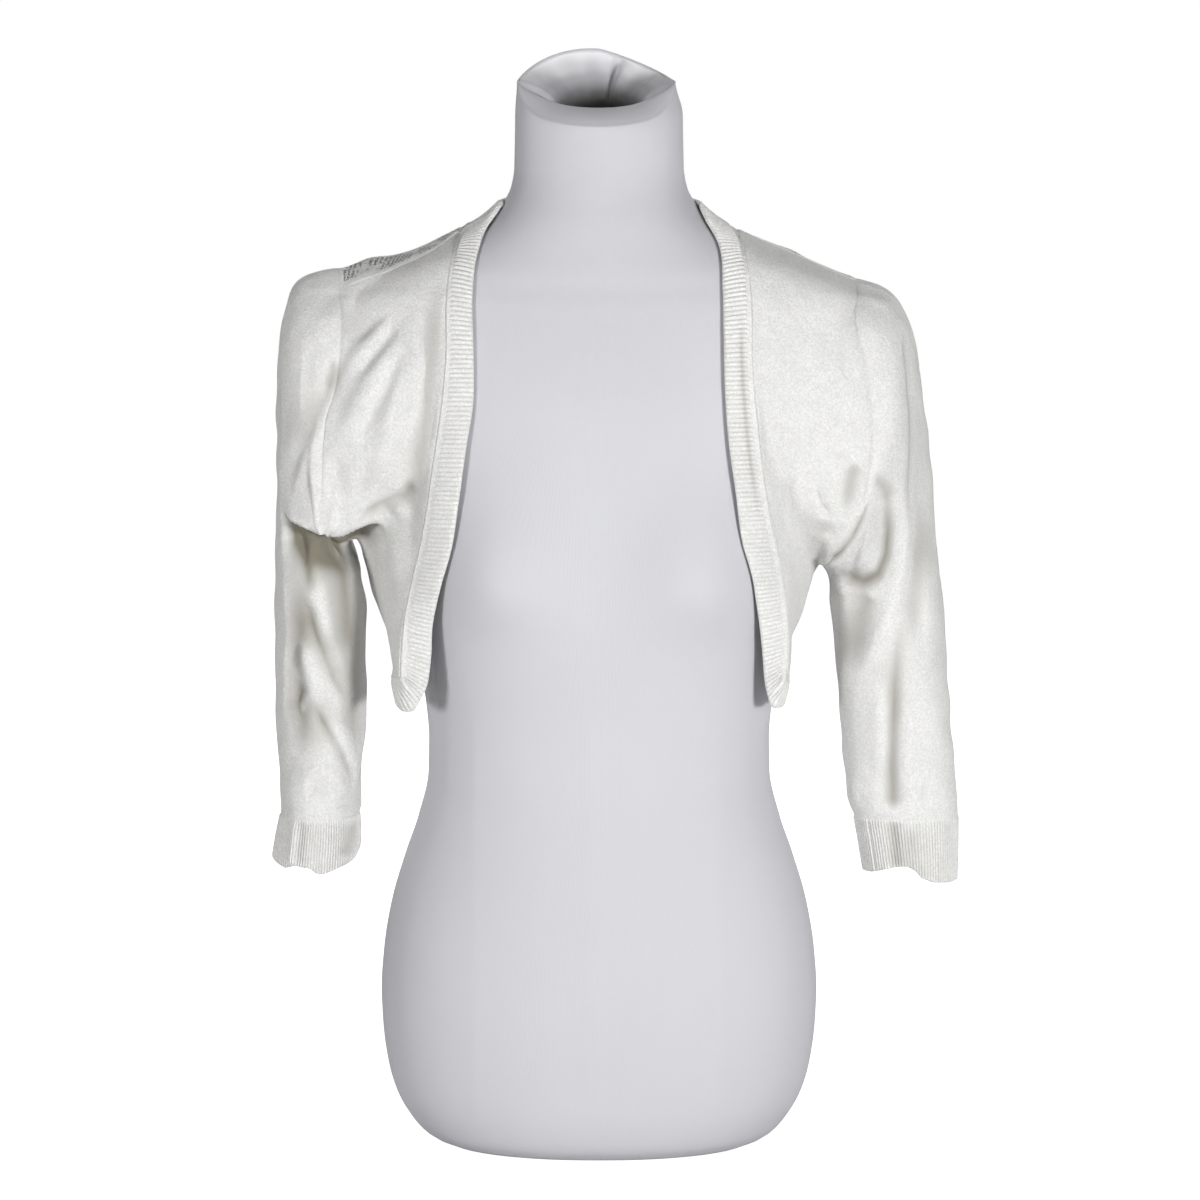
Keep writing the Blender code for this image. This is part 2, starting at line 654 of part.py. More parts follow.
class Mesh:
    """Triangles gathered for one solid."""

    def __init__(self):
        self.points, self.faces = [], []

    def add(self, points):
        start = len(self.points)
        self.points.extend(np.asarray(points, float).reshape(-1, 3))
        return start + np.arange(int(np.prod(np.shape(points)[:-1]))).reshape(np.shape(points)[:-1])

    def sheet(self, index, flip=False, around=False):
        """Two triangles for each cell of a grid of indices."""
        if around:
            index = np.concatenate([index, index[:, :1]], axis=1)
        a, b, c, d = index[:-1, :-1], index[:-1, 1:], index[1:, 1:], index[1:, :-1]
        for first in ((a, b, c), (a, c, d)):
            for face in np.stack(first, axis=-1).reshape(-1, 3):
                self.faces.append(face[::-1] if flip else face)

    def ribbon(self, low, high, flip=False):
        """Join two rows of indices that have the same ends and any numbers of points."""
        i = j = 0
        while i < len(low) - 1 or j < len(high) - 1:
            if j == len(high) - 1 or (i < len(low) - 1 and (i + 0.5) * (len(high) - 1) <= (j + 0.5) * (len(low) - 1)):
                face = (low[i], low[i + 1], high[j])
                i += 1
            else:
                face = (low[i], high[j + 1], high[j])
                j += 1
            self.faces.append(face[::-1] if flip else face)

    def object(self, name, material):
        mesh = bpy.data.meshes.new(name)
        points = [tuple(point * MILLIMETRE) for point in self.points]
        mesh.from_pydata(points, [], [tuple(int(i) for i in face) for face in self.faces])
        if signed_volume(self.points, self.faces) < 0:
            mesh.flip_normals()
        mesh.materials.append(material)
        mesh.shade_smooth()
        mesh.set_sharp_from_angle(angle=math.radians(40))
        item = bpy.data.objects.new(name, mesh)
        bpy.context.collection.objects.link(item)
        return item


def cloth_material(name, colour, roughness):
    material = bpy.data.materials.new(name)
    material.use_nodes = True
    shader = material.node_tree.nodes["Principled BSDF"]
    shader.inputs["Base Color"].default_value = (*colour, 1)
    shader.inputs["Roughness"].default_value = roughness
    shader.inputs["Metallic"].default_value = 0.0
    return material


def signed_volume(points, faces):
    points, faces = np.asarray(points), np.asarray(faces)
    a, b, c = points[faces[:, 0]], points[faces[:, 1]], points[faces[:, 2]]
    return float(np.sum(a * np.cross(b, c)) / 6)


def plain_wall(inner, walls, thickness, around=False):
    """Closed wall of even thickness on a grid."""
    mesh = Mesh()
    low = mesh.add(inner)
    high = mesh.add(inner + walls * thickness)
    mesh.sheet(low, flip=True, around=around)
    mesh.sheet(high, around=around)
    close = (lambda row: np.append(row, row[0])) if around else (lambda row: row)
    mesh.ribbon(close(low[0]), close(high[0]))
    mesh.ribbon(close(low[-1]), close(high[-1]), flip=True)
    if not around:
        mesh.ribbon(low[:, 0], high[:, 0], flip=True)
        mesh.ribbon(low[:, -1], high[:, -1])
    return mesh


def ribbed_wall(inner, walls, ribs, around=False):
    """Closed wall whose outer side has ridges that run from one long edge to the other."""
    if around:
        inner = np.concatenate([inner, inner[:, :1]], axis=1)
        walls = np.concatenate([walls, walls[:, :1]], axis=1)
    cells = inner.shape[1] - 1
    shares, counts = [], []
    for cell in range(cells):
        steps = 2 * ribs[cell]
        counts.append(steps)
        shares.extend(cell + np.arange(steps) / steps)
    shares.append(cells)
    shares = np.array(shares)
    low_cell = np.minimum(shares.astype(int), cells - 1)
    t = (shares - low_cell)[None, :, None]
    foot = inner[:, low_cell] * (1 - t) + inner[:, low_cell + 1] * t
    wall = walls[:, low_cell] * (1 - t) + walls[:, low_cell + 1] * t
    thickness = np.where(np.arange(len(shares)) % 2 == 0, RIB_VALLEY, RIB_RIDGE)[None, :, None]
    outer = foot + wall * thickness
    mesh = Mesh()
    if around:
        low = mesh.add(inner[:, :-1])
        high = mesh.add(outer[:, :-1])
        low = np.concatenate([low, low[:, :1]], axis=1)
        high = np.concatenate([high, high[:, :1]], axis=1)
    else:
        low, high = mesh.add(inner), mesh.add(outer)
    mesh.sheet(low, flip=True)
    mesh.sheet(high)
    starts = np.concatenate([[0], np.cumsum(counts)])
    for row, flip in ((0, False), (-1, True)):
        for cell in range(cells):
            span = high[row][starts[cell] : starts[cell + 1] + 1]
            mesh.ribbon(low[row][cell : cell + 2], span, flip=flip)
    if not around:
        mesh.ribbon(low[:, 0], high[:, 0], flip=True)
        mesh.ribbon(low[:, -1], high[:, -1])
    return mesh


def rib_counts(grid):
    """Ribs in each cell of a strip, from its length half way across."""
    lengths = np.linalg.norm(np.diff(grid[1], axis=0), axis=1)
    ends = np.round(np.concatenate([[0], np.cumsum(lengths)]) / RIB_PITCH).astype(int)
    return np.maximum(1, np.diff(ends))


# ---------------------------------------------------------------- the dress form
def form_ring(z, turn):
    width, front, back = form_section(z)
    power = 2 / float(form_exponent(z))
    c, s = np.cos(turn), np.sin(turn)
    x = width * np.sign(c) * np.abs(c) ** power
    depth = np.where(s < 0, front, back) * np.abs(s) ** power
    swell = bust_swell(x, np.full_like(x, z))
    forward = np.where(depth + swell > 50, depth + swell, depth / (1 - swell / 50))
    y = np.where(s < 0, -forward, depth)
    return np.stack([x, y, np.full_like(x, z)], axis=1)


def neck_ring(share, inset, sink, turn):
    """Ring on the slant: share 1 lies in the rim's plane, inset is inwards and sink is below the plane."""
    ring = form_ring(NECK_BASE + share * 20, turn)
    length = np.linalg.norm(ring[:, :2], axis=1, keepdims=True)
    ring[:, :2] *= (length - inset) / length
    rim = RIM_HEIGHT + RIM_SLANT * ring[:, 1] - sink
    ring[:, 2] = NECK_BASE + share * (rim - NECK_BASE)
    return ring


def dress_form():
    turn = 2 * math.pi * (np.arange(FORM_SEGMENTS) + 0.5) / FORM_SEGMENTS
    rings = [form_ring(z, turn) for z in FORM_SECTIONS[:, 0] if z <= NECK_BASE]
    rings += [neck_ring(share, 0, LIP_RADIUS * share, turn) for share in (0.35, 0.7, 1)]
    for angle in np.radians([40, 80, 120, 160]):
        rings.append(neck_ring(1, LIP_RADIUS * (1 - math.cos(angle)), LIP_RADIUS * (1 - math.sin(angle)), turn))
    rim = neck_ring(1, 2 * LIP_RADIUS, LIP_RADIUS, turn)
    for depth, share in POCKET:
        ring = rim.copy()
        ring[:, :2] *= share
        ring[:, 2] = rim[:, 2] * share + (RIM_HEIGHT - LIP_RADIUS) * (1 - share) - depth
        rings.append(ring)
    mesh = Mesh()
    index = mesh.add(np.stack(rings))
    mesh.sheet(index, around=True)
    for ring, flip in ((0, True), (-1, False)):
        centre = mesh.add(np.asarray(rings[ring]).mean(axis=0)[None])[0]
        loop = np.append(index[ring], index[ring][0])
        for a, b in zip(loop[:-1], loop[1:]):
            mesh.faces.append((b, a, centre) if flip else (a, b, centre))
    return mesh


# ---------------------------------------------------------------- putting it together
def edge_places(rows, columns):
    """Places along the four edges of a grid, and along parts of them, by name."""
    return {
        "bottom": [(0, c) for c in range(columns)],
        "top": [(rows - 1, c) for c in range(columns)],
        "left": [(r, 0) for r in range(rows)],
        "right": [(r, columns - 1) for r in range(rows)],
    }


def build():
    materials = {name: cloth_material(name, *looks) for name, looks in MATERIALS.items()}
    seams = {side: SideSeams(side) for side in WEARERS_SIDES}
    right, left = seams["right"], seams["left"]
    middle_back = (right.neck_seam[0] + left.neck_seam[0]) / 2
    right.neck_seam[0] = left.neck_seam[0] = middle_back
    right.neck_edge[0] = left.neck_edge[0] = (right.neck_edge[0] + left.neck_edge[0]) / 2
    right.hem_back[-1] = left.hem_back[-1] = (right.hem_back[-1] + left.hem_back[-1]) / 2
    right.hem_back_edge[-1] = left.hem_back_edge[-1] = (right.hem_back_edge[-1] + left.hem_back_edge[-1]) / 2

    grids, around, outside = {}, {}, {}
    axis = np.array([0.0, 0.0, 450.0])
    for side, own in seams.items():
        grids["front_" + side] = front_grid(own)
        grids["sleeve_" + side] = sleeve_grid(own, side)
        grids["cuff_" + side] = cuff_grid(side)
        seam = np.vstack([own.neck_seam, own.front_seam[-2::-1], own.hem_front[1:]])
        edge = np.vstack([own.neck_edge, own.front_edge[-2::-1], own.hem_front_edge[1:]])
        grids["band_" + side] = strip_grid(seam, edge)
    grids["back"] = back_grid(right, left)
    grids["band_hem"] = strip_grid(
        np.vstack([right.hem_back, left.hem_back[-2::-1]]),
        np.vstack([right.hem_back_edge, left.hem_back_edge[-2::-1]]),
    )
    seamwork = Seamwork()
    normals = {}
    for name, grid in grids.items():
        tubular = name.startswith(("sleeve", "cuff"))
        centre = grid.mean(axis=1, keepdims=True) if tubular else axis
        normal = grid_normals(grid, tubular, centre)
        if name in FOLDS:
            sign = 1.0 if name == "back" else WEARERS_SIDES[name.split("_")[1]]
            facing = 1.0 if name == "back" else -1.0
            moved = folded(grid, normal, FOLDS[name], sign, facing)
            if tubular:
                moved = folded(moved, normal, BACK_OF_SLEEVE_FOLDS, sign, 1.0)
                moved = with_rows_of(moved, grid, (0, -1))
            else:
                moved = with_edges_of(clear_of_form(moved), grid)
            grid = grids[name] = moved
            normal = grid_normals(grid, tubular, centre)
        normals[name] = normal
        seamwork.add_normals(grid, normal)

    for name, grid in grids.items():
        rows, columns = grid.shape[:2]
        places = edge_places(rows, columns)
        corner = SIDE_ROWS
        if name.startswith("front"):
            sewn_edges = [
                places["bottom"], places["top"], places["left"],
                places["right"][: corner + 1], places["right"][corner:],
            ]
            item = plain_wall(*sewn(seamwork, grid, normals[name], sewn_edges), CLOTH)
        elif name == "back":
            shoulder = FRONT_COLUMNS
            sewn_edges = [
                places["bottom"],
                places["top"][: shoulder + 1], places["top"][shoulder : columns - shoulder],
                places["top"][columns - 1 - shoulder :],
                places["left"][: corner + 1], places["left"][corner:],
                places["right"][: corner + 1], places["right"][corner:],
            ]
            item = plain_wall(*sewn(seamwork, grid, normals[name], sewn_edges), CLOTH)
        elif name.startswith("sleeve"):
            item = plain_wall(
                *sewn(seamwork, grid, normals[name], [places["bottom"], places["top"]], around=True),
                CLOTH, around=True,
            )
        elif name.startswith("cuff"):
            ribs = [CUFF_RIBS // (2 * ARM_ROWS)] * (2 * ARM_ROWS)
            item = ribbed_wall(
                *sewn(seamwork, grid, normals[name], [places["bottom"]], around=True), ribs, around=True
            )
        else:
            inner, walls = sewn(seamwork, grid, normals[name], [places["bottom"], places["left"], places["right"]])
            item = ribbed_wall(inner, walls, rib_counts(inner))
        item.object(name, materials[MATERIAL_OF.get(name.split("_")[0], "rib_knit")])
    dress_form().object("dress_form", materials["form_jersey"])


for item in list(bpy.data.objects):
    bpy.data.objects.remove(item)
build()
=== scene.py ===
"""A fine-knit shrug on a limbless dress form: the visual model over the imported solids.

Lengths in the tables are millimetres, and meshes are in metres. The wearer faces -Y. Each knitted
piece is a grid of points between its seams, with a wall that grows outwards from it.
"""

from __future__ import annotations

import logging
import math
from dataclasses import dataclass, field
from enum import Enum
from typing import Sequence, Union

import bpy
import numpy as np
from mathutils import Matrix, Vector

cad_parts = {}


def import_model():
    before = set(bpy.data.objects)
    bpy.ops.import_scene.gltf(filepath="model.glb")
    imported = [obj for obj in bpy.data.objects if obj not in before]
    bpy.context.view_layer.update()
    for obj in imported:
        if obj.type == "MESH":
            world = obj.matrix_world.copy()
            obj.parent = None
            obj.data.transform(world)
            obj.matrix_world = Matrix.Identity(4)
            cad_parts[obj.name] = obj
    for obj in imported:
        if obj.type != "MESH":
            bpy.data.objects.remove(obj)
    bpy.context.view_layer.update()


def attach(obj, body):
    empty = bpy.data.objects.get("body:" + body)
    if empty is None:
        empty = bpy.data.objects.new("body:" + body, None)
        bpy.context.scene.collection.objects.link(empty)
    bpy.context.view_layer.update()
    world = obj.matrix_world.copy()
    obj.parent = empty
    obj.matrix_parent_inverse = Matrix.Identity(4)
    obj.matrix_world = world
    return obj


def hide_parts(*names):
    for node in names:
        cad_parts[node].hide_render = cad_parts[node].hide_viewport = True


log = logging.getLogger("shrug")
Array = np.ndarray
Pair = tuple[float, float]
Line = Sequence[Pair]
Triple = tuple[float, float, float]
Socket = bpy.types.NodeSocket
Value = Union[Socket, float]
MM = 0.001


class Side(Enum):
    """The wearer's side and the sign of x there."""

    RIGHT = -1.0
    LEFT = 1.0

    @property
    def tag(self) -> str:
        """The side's word in the names of pieces."""
        return self.name.lower()

    @property
    def mirror(self) -> Array:
        """What turns (x away from the middle, y, z) into a place, and back."""
        return np.array([self.value, 1.0, 1.0])


# ---------------------------------------------------------------- sizes
CLOTH, LACE = 1.5, 0.9  # walls of the plain knitting and of the lace
SEAT, NECK_SEAT, BACK_SEAT = 2.3, 1.0, 3.6  # off the form: the fronts, the bands and the back
SEAM_GROOVE = 0.25  # how much thinner the cloth is at a seam
RIB_STEPS = 6  # columns in a ridge of rib
SLEEVE_SEAM_TURN = 0.113  # how far a sleeve's seam winds round by the cuff, in turns
SIDE_ROWS, ARM_ROWS = 54, 78  # rows of the body's panels, below the armhole and beside it
FRONT_COLUMNS, NECK_COLUMNS = 76, 44  # columns of a front, and of half of the back neck
CURVE_STEPS = 400  # steps in a curve that a rib is counted along
SIDE_SHARES = (0, 0.18, 0.36, 0.54, 0.7, 0.82, 0.92, 1)  # closer rows towards the underarm
FREE_FROM_NECK = (560.0, 640.0)  # edges lie on the form above the second height
AXIS = np.array([0.0, 0.0, 450.0])  # inside the body, for the outward directions
SAME_SPOT = 0.02  # points this near each other are one where pieces are sewn
RIB_CREASE = 75.0  # an edge of rib is sharp from this angle
FOLD_FOR_SHADE = 4.5  # height of a fold whose painted shade is 1
FADE_START, LEAST_FADE = -0.01, 0.001  # share where a fold begins, and its shortest fade
NARROWING, CRISPNESS = 0.4, 1.6  # of a fold towards its ends, and across a pressed one
STITCH_SLANT, LOOP_DEPTH, STRAND_FULLNESS = 1.15, 0.32, 0.6  # of a loop of plain knitting

# ---------------------------------------------------------------- the dress form
# height, half width, depth to the front, depth to the back
FORM_SECTIONS = np.array([
    (0, 92, 58, 74), (4, 112, 73, 92), (12, 127.5, 85, 107), (24, 138, 92, 116), (40, 147, 97, 122),
    (60, 153, 100, 126), (90, 157, 103, 129), (115, 158, 104, 130), (145, 156, 103, 126),
    (178, 150.5, 99, 117), (214, 140, 93, 104), (240, 131, 89, 96), (275, 123.2, 85, 88),
    (300, 122.8, 86, 87), (322, 124.5, 89, 88), (345, 128, 94, 91), (370, 133, 99, 94),
    (400, 139, 103, 98), (425, 143, 104, 100), (450, 147, 103, 103), (480, 153, 101, 106),
    (510, 162, 98, 108), (540, 174, 94, 109), (565, 186, 88, 108), (585, 192, 82, 105),
    (600, 193, 77, 100), (612, 188, 73, 96), (622, 176, 69, 93), (632, 156, 66, 90),
    (641, 132.5, 63, 87), (650, 112, 60, 85), (660, 93, 57, 82), (670, 78.5, 54, 78),
    (680, 69.5, 51, 73), (692, 62.8, 48.5, 68), (705, 60.3, 47, 65), (720, 59.5, 46, 63),
    (800, 59, 45, 61),
], float)

# ---------------------------------------------------------------- seams: x away from the middle, y, z
SHOULDER_KEY = 4
KEYS_PER_STRETCH = 40
FREE_EDGE = {
    Side.RIGHT: [
        (0, 71, 692), (34, 62, 691), (60, 40, 688), (70, 8, 684), (70, -20, 681), (78, -31, 669),
        (85, -51, 648), (88, -68, 618), (87, -80, 580), (87, -88, 543), (92, -92, 511),
        (97, -96, 475), (102, -96, 443), (110, -89, 415), (116, -80, 388), (118, -75, 360),
        (121, -76, 343), (126, -78, 333),
    ],
    Side.LEFT: [
        (0, 71, 692), (34, 62, 691), (60, 40, 688), (70, 12, 684), (70, -12, 681), (76, -29, 672),
        (84, -46, 653), (86, -66, 622), (86.5, -79, 588), (87, -87, 553), (90, -92, 513),
        (94, -95, 485), (99, -96, 448), (107, -88, 417), (112, -78, 388), (115, -70, 362),
        (116.5, -67, 346), (119, -67, 334),
    ],
}
BAND_SEAM = {
    Side.RIGHT: [
        (0, 88, 675), (46, 80, 673), (78, 52, 669), (94, 12, 665), (99, -21, 660), (103, -48, 644),
        (106, -66, 615), (106, -78, 575), (109, -83, 540), (114, -84, 505), (119, -84, 470),
        (124, -82, 443), (131, -76, 415), (136, -74, 390), (138.5, -75, 366), (139, -77, 351),
    ],
    Side.LEFT: [
        (0, 88, 675), (46, 80, 673), (76, 52, 669), (92, 16, 666), (98, -8, 662), (103, -46, 645),
        (106, -66, 615), (106.5, -80, 565), (110, -84, 525), (114, -85, 490), (120, -83, 455),
        (127, -77, 422), (131, -72, 396), (132.5, -68, 374), (131, -66, 350),
    ],
}
SHOULDER_SEAM = {
    Side.RIGHT: [(99, -21, 660), (117, -29, 646.5), (143, -33, 634), (165, -33, 627), (183, -27, 620)],
    Side.LEFT: [(98, -8, 662), (117, -8, 653), (143, -9, 642), (165, -9, 632), (182, -9, 625)],
}
ARMHOLE_FRONT = {
    Side.RIGHT: [
        (173, -8, 444), (184, -37, 443), (193, -54, 453), (194.5, -60, 480), (192, -60, 520),
        (184, -57, 556), (181.5, -53, 578), (181.5, -44, 600), (183, -27, 620),
    ],
    Side.LEFT: [
        (157, -4, 424), (163, -34, 429), (173, -50, 441), (182, -57, 459), (187, -60, 482),
        (191, -61, 515), (188, -57, 560), (181, -40, 602), (182, -9, 625),
    ],
}
ARMHOLE_BACK = {
    Side.RIGHT: [
        (173, -8, 444), (179, 26, 455), (185, 47, 488), (188, 56, 530), (189, 54, 575),
        (188, 34, 613), (186, 6, 632.8), (184.5, -12, 630.8), (183, -27, 620),
    ],
    Side.LEFT: [
        (157, -4, 424), (167, 26, 442), (180, 47, 478), (187, 57, 525), (188, 55, 572),
        (186, 36, 608), (184, 12, 625), (182, -9, 625),
    ],
}
SIDE_SEAM = {
    Side.RIGHT: [
        (142.5, 3, 351), (152.5, 1, 378), (162, -2, 405), (167, -5, 428), (169, -7, 437), (173, -8, 444),
    ],
    Side.LEFT: [
        (128, 3, 350), (136, 1, 368), (146, -1, 392), (151, -3, 410), (153, -4, 418), (157, -4, 424),
    ],
}
HEM_SEAM_FRONT = {
    Side.RIGHT: [(139, -77, 351), (143, -68, 350), (145, -35, 351), (142.5, 3, 351)],
    Side.LEFT: [(131, -66, 350), (133, -56, 350), (132, -28, 350), (128, 3, 350)],
}
HEM_EDGE_FRONT = {
    Side.RIGHT: [
        (126, -78, 333), (130, -78, 327), (135, -75, 326), (139, -65, 327), (142, -35, 329),
        (140, 3, 330),
    ],
    Side.LEFT: [
        (119, -67, 334), (122, -67, 328), (126, -62, 327), (129, -50, 328), (129.5, -28, 329),
        (127, 3, 330),
    ],
}
HEM_SEAM_BACK = {
    Side.RIGHT: [(142.5, 3, 351), (137, 45, 353), (110, 79, 356), (58, 97, 358), (0, 102, 359)],
    Side.LEFT: [(128, 3, 350), (125.5, 44, 352), (106, 75, 355), (58, 95, 358), (0, 102, 359)],
}
HEM_EDGE_BACK = {
    Side.RIGHT: [(140, 3, 330), (135, 45, 333), (108, 78, 336), (57, 95, 338), (0, 100, 339)],
    Side.LEFT: [(127, 3, 330), (124, 44, 332), (105, 74, 335), (57, 94, 338), (0, 100, 339)],
}

# height of a rib at the free edge, and how much higher it is at the seam
RIB_LEVELS = [
    (681, -21), (668, -12), (655, -3), (642, 2), (625, 3), (605, 2), (570, 0), (440, 0), (415, 1), (390, 4),
    (368, 5), (352, 8), (341, 12), (333, 18),
]

# ---------------------------------------------------------------- sleeves, measured outside
# height, middle x, middle y, half width, half depth
SLEEVE_SECTIONS = {
    Side.RIGHT: [
        (415, 201.9, 1, 30.5, 57), (385, 200.8, 1, 32.2, 54), (330, 200.5, 1, 32.5, 47),
        (276, 201.3, 0, 30.0, 42), (243, 201.8, -1, 28.5, 38),
    ],
    Side.LEFT: [
        (398, 206.8, 0, 40.7, 49), (384, 208.2, 0, 40.5, 48), (340, 211.8, 0, 40.2, 42),
        (310, 214.1, -1, 39.7, 37), (257, 219.5, -2, 39.6, 30), (242, 222.0, -2, 37.8, 29),
    ],
}
CUFF_SECTIONS = {
    Side.RIGHT: [(243, 201.8, -1, 28.5, 38), (226, 203.4, -1, 30.6, 35), (211.5, 205.0, -1, 31.6, 33)],
    Side.LEFT: [(242, 222.0, -2, 37.8, 29), (220, 224.0, -2, 35.8, 29), (199, 225.4, -2, 33.9, 30)],
}
CUFF_WAVES = {
    Side.RIGHT: [(1, 0.95, 5.0), (2, 0.0, 3.0), (5, 1.0, 0.8)],
    Side.LEFT: [(1, -0.79, 5.6), (2, 3.14, 3.0), (4, 0.6, 1.2)],
}
# turn round the cuff in degrees from beside the body, and how far its end is raised there
CUFF_SCALLOPS = {
    Side.RIGHT: [
        (0, 0), (38, -3), (60, -3.4), (73, -3.2), (85, -1), (96, 3.6), (111, 4), (134, -1), (165, 0),
        (360, 0),
    ],
    Side.LEFT: [
        (0, 0), (80, 0), (92, -2), (103, -6), (114, -6), (125, -4.4), (138, -3), (180, 0), (360, 0),
    ],
}
CAP_START = {Side.RIGHT: 14.0, Side.LEFT: 3.0}
CAP_REACH = {Side.RIGHT: 1.1, Side.LEFT: 0.67}
CAP_LEAN = {Side.RIGHT: 4.0, Side.LEFT: 21.0}
CAP_LIFT = {Side.RIGHT: -1.5, Side.LEFT: -9.0}
CAP_HANG_TIP = {Side.RIGHT: 0.965, Side.LEFT: 0.93}


@dataclass(frozen=True)
class Fold:
    """A ridge or trough along a line in the front or back view.

    Attributes:
        line: points (x away from the middle, z).
        reach: how far it spreads across, in millimetres.
        height: how far it stands out; negative for a trough.
        sharp: 0 for a rounded fold, 1 for a pressed crease.
        fade: share of its length in which it runs out, at its start and at its end.
        tone: how much shade is painted into its yarn for its depth.
    """

    line: Line
    reach: float
    height: float
    sharp: float = 0.0
    fade: Pair = (0.35, 0.35)
    tone: float = 1.0
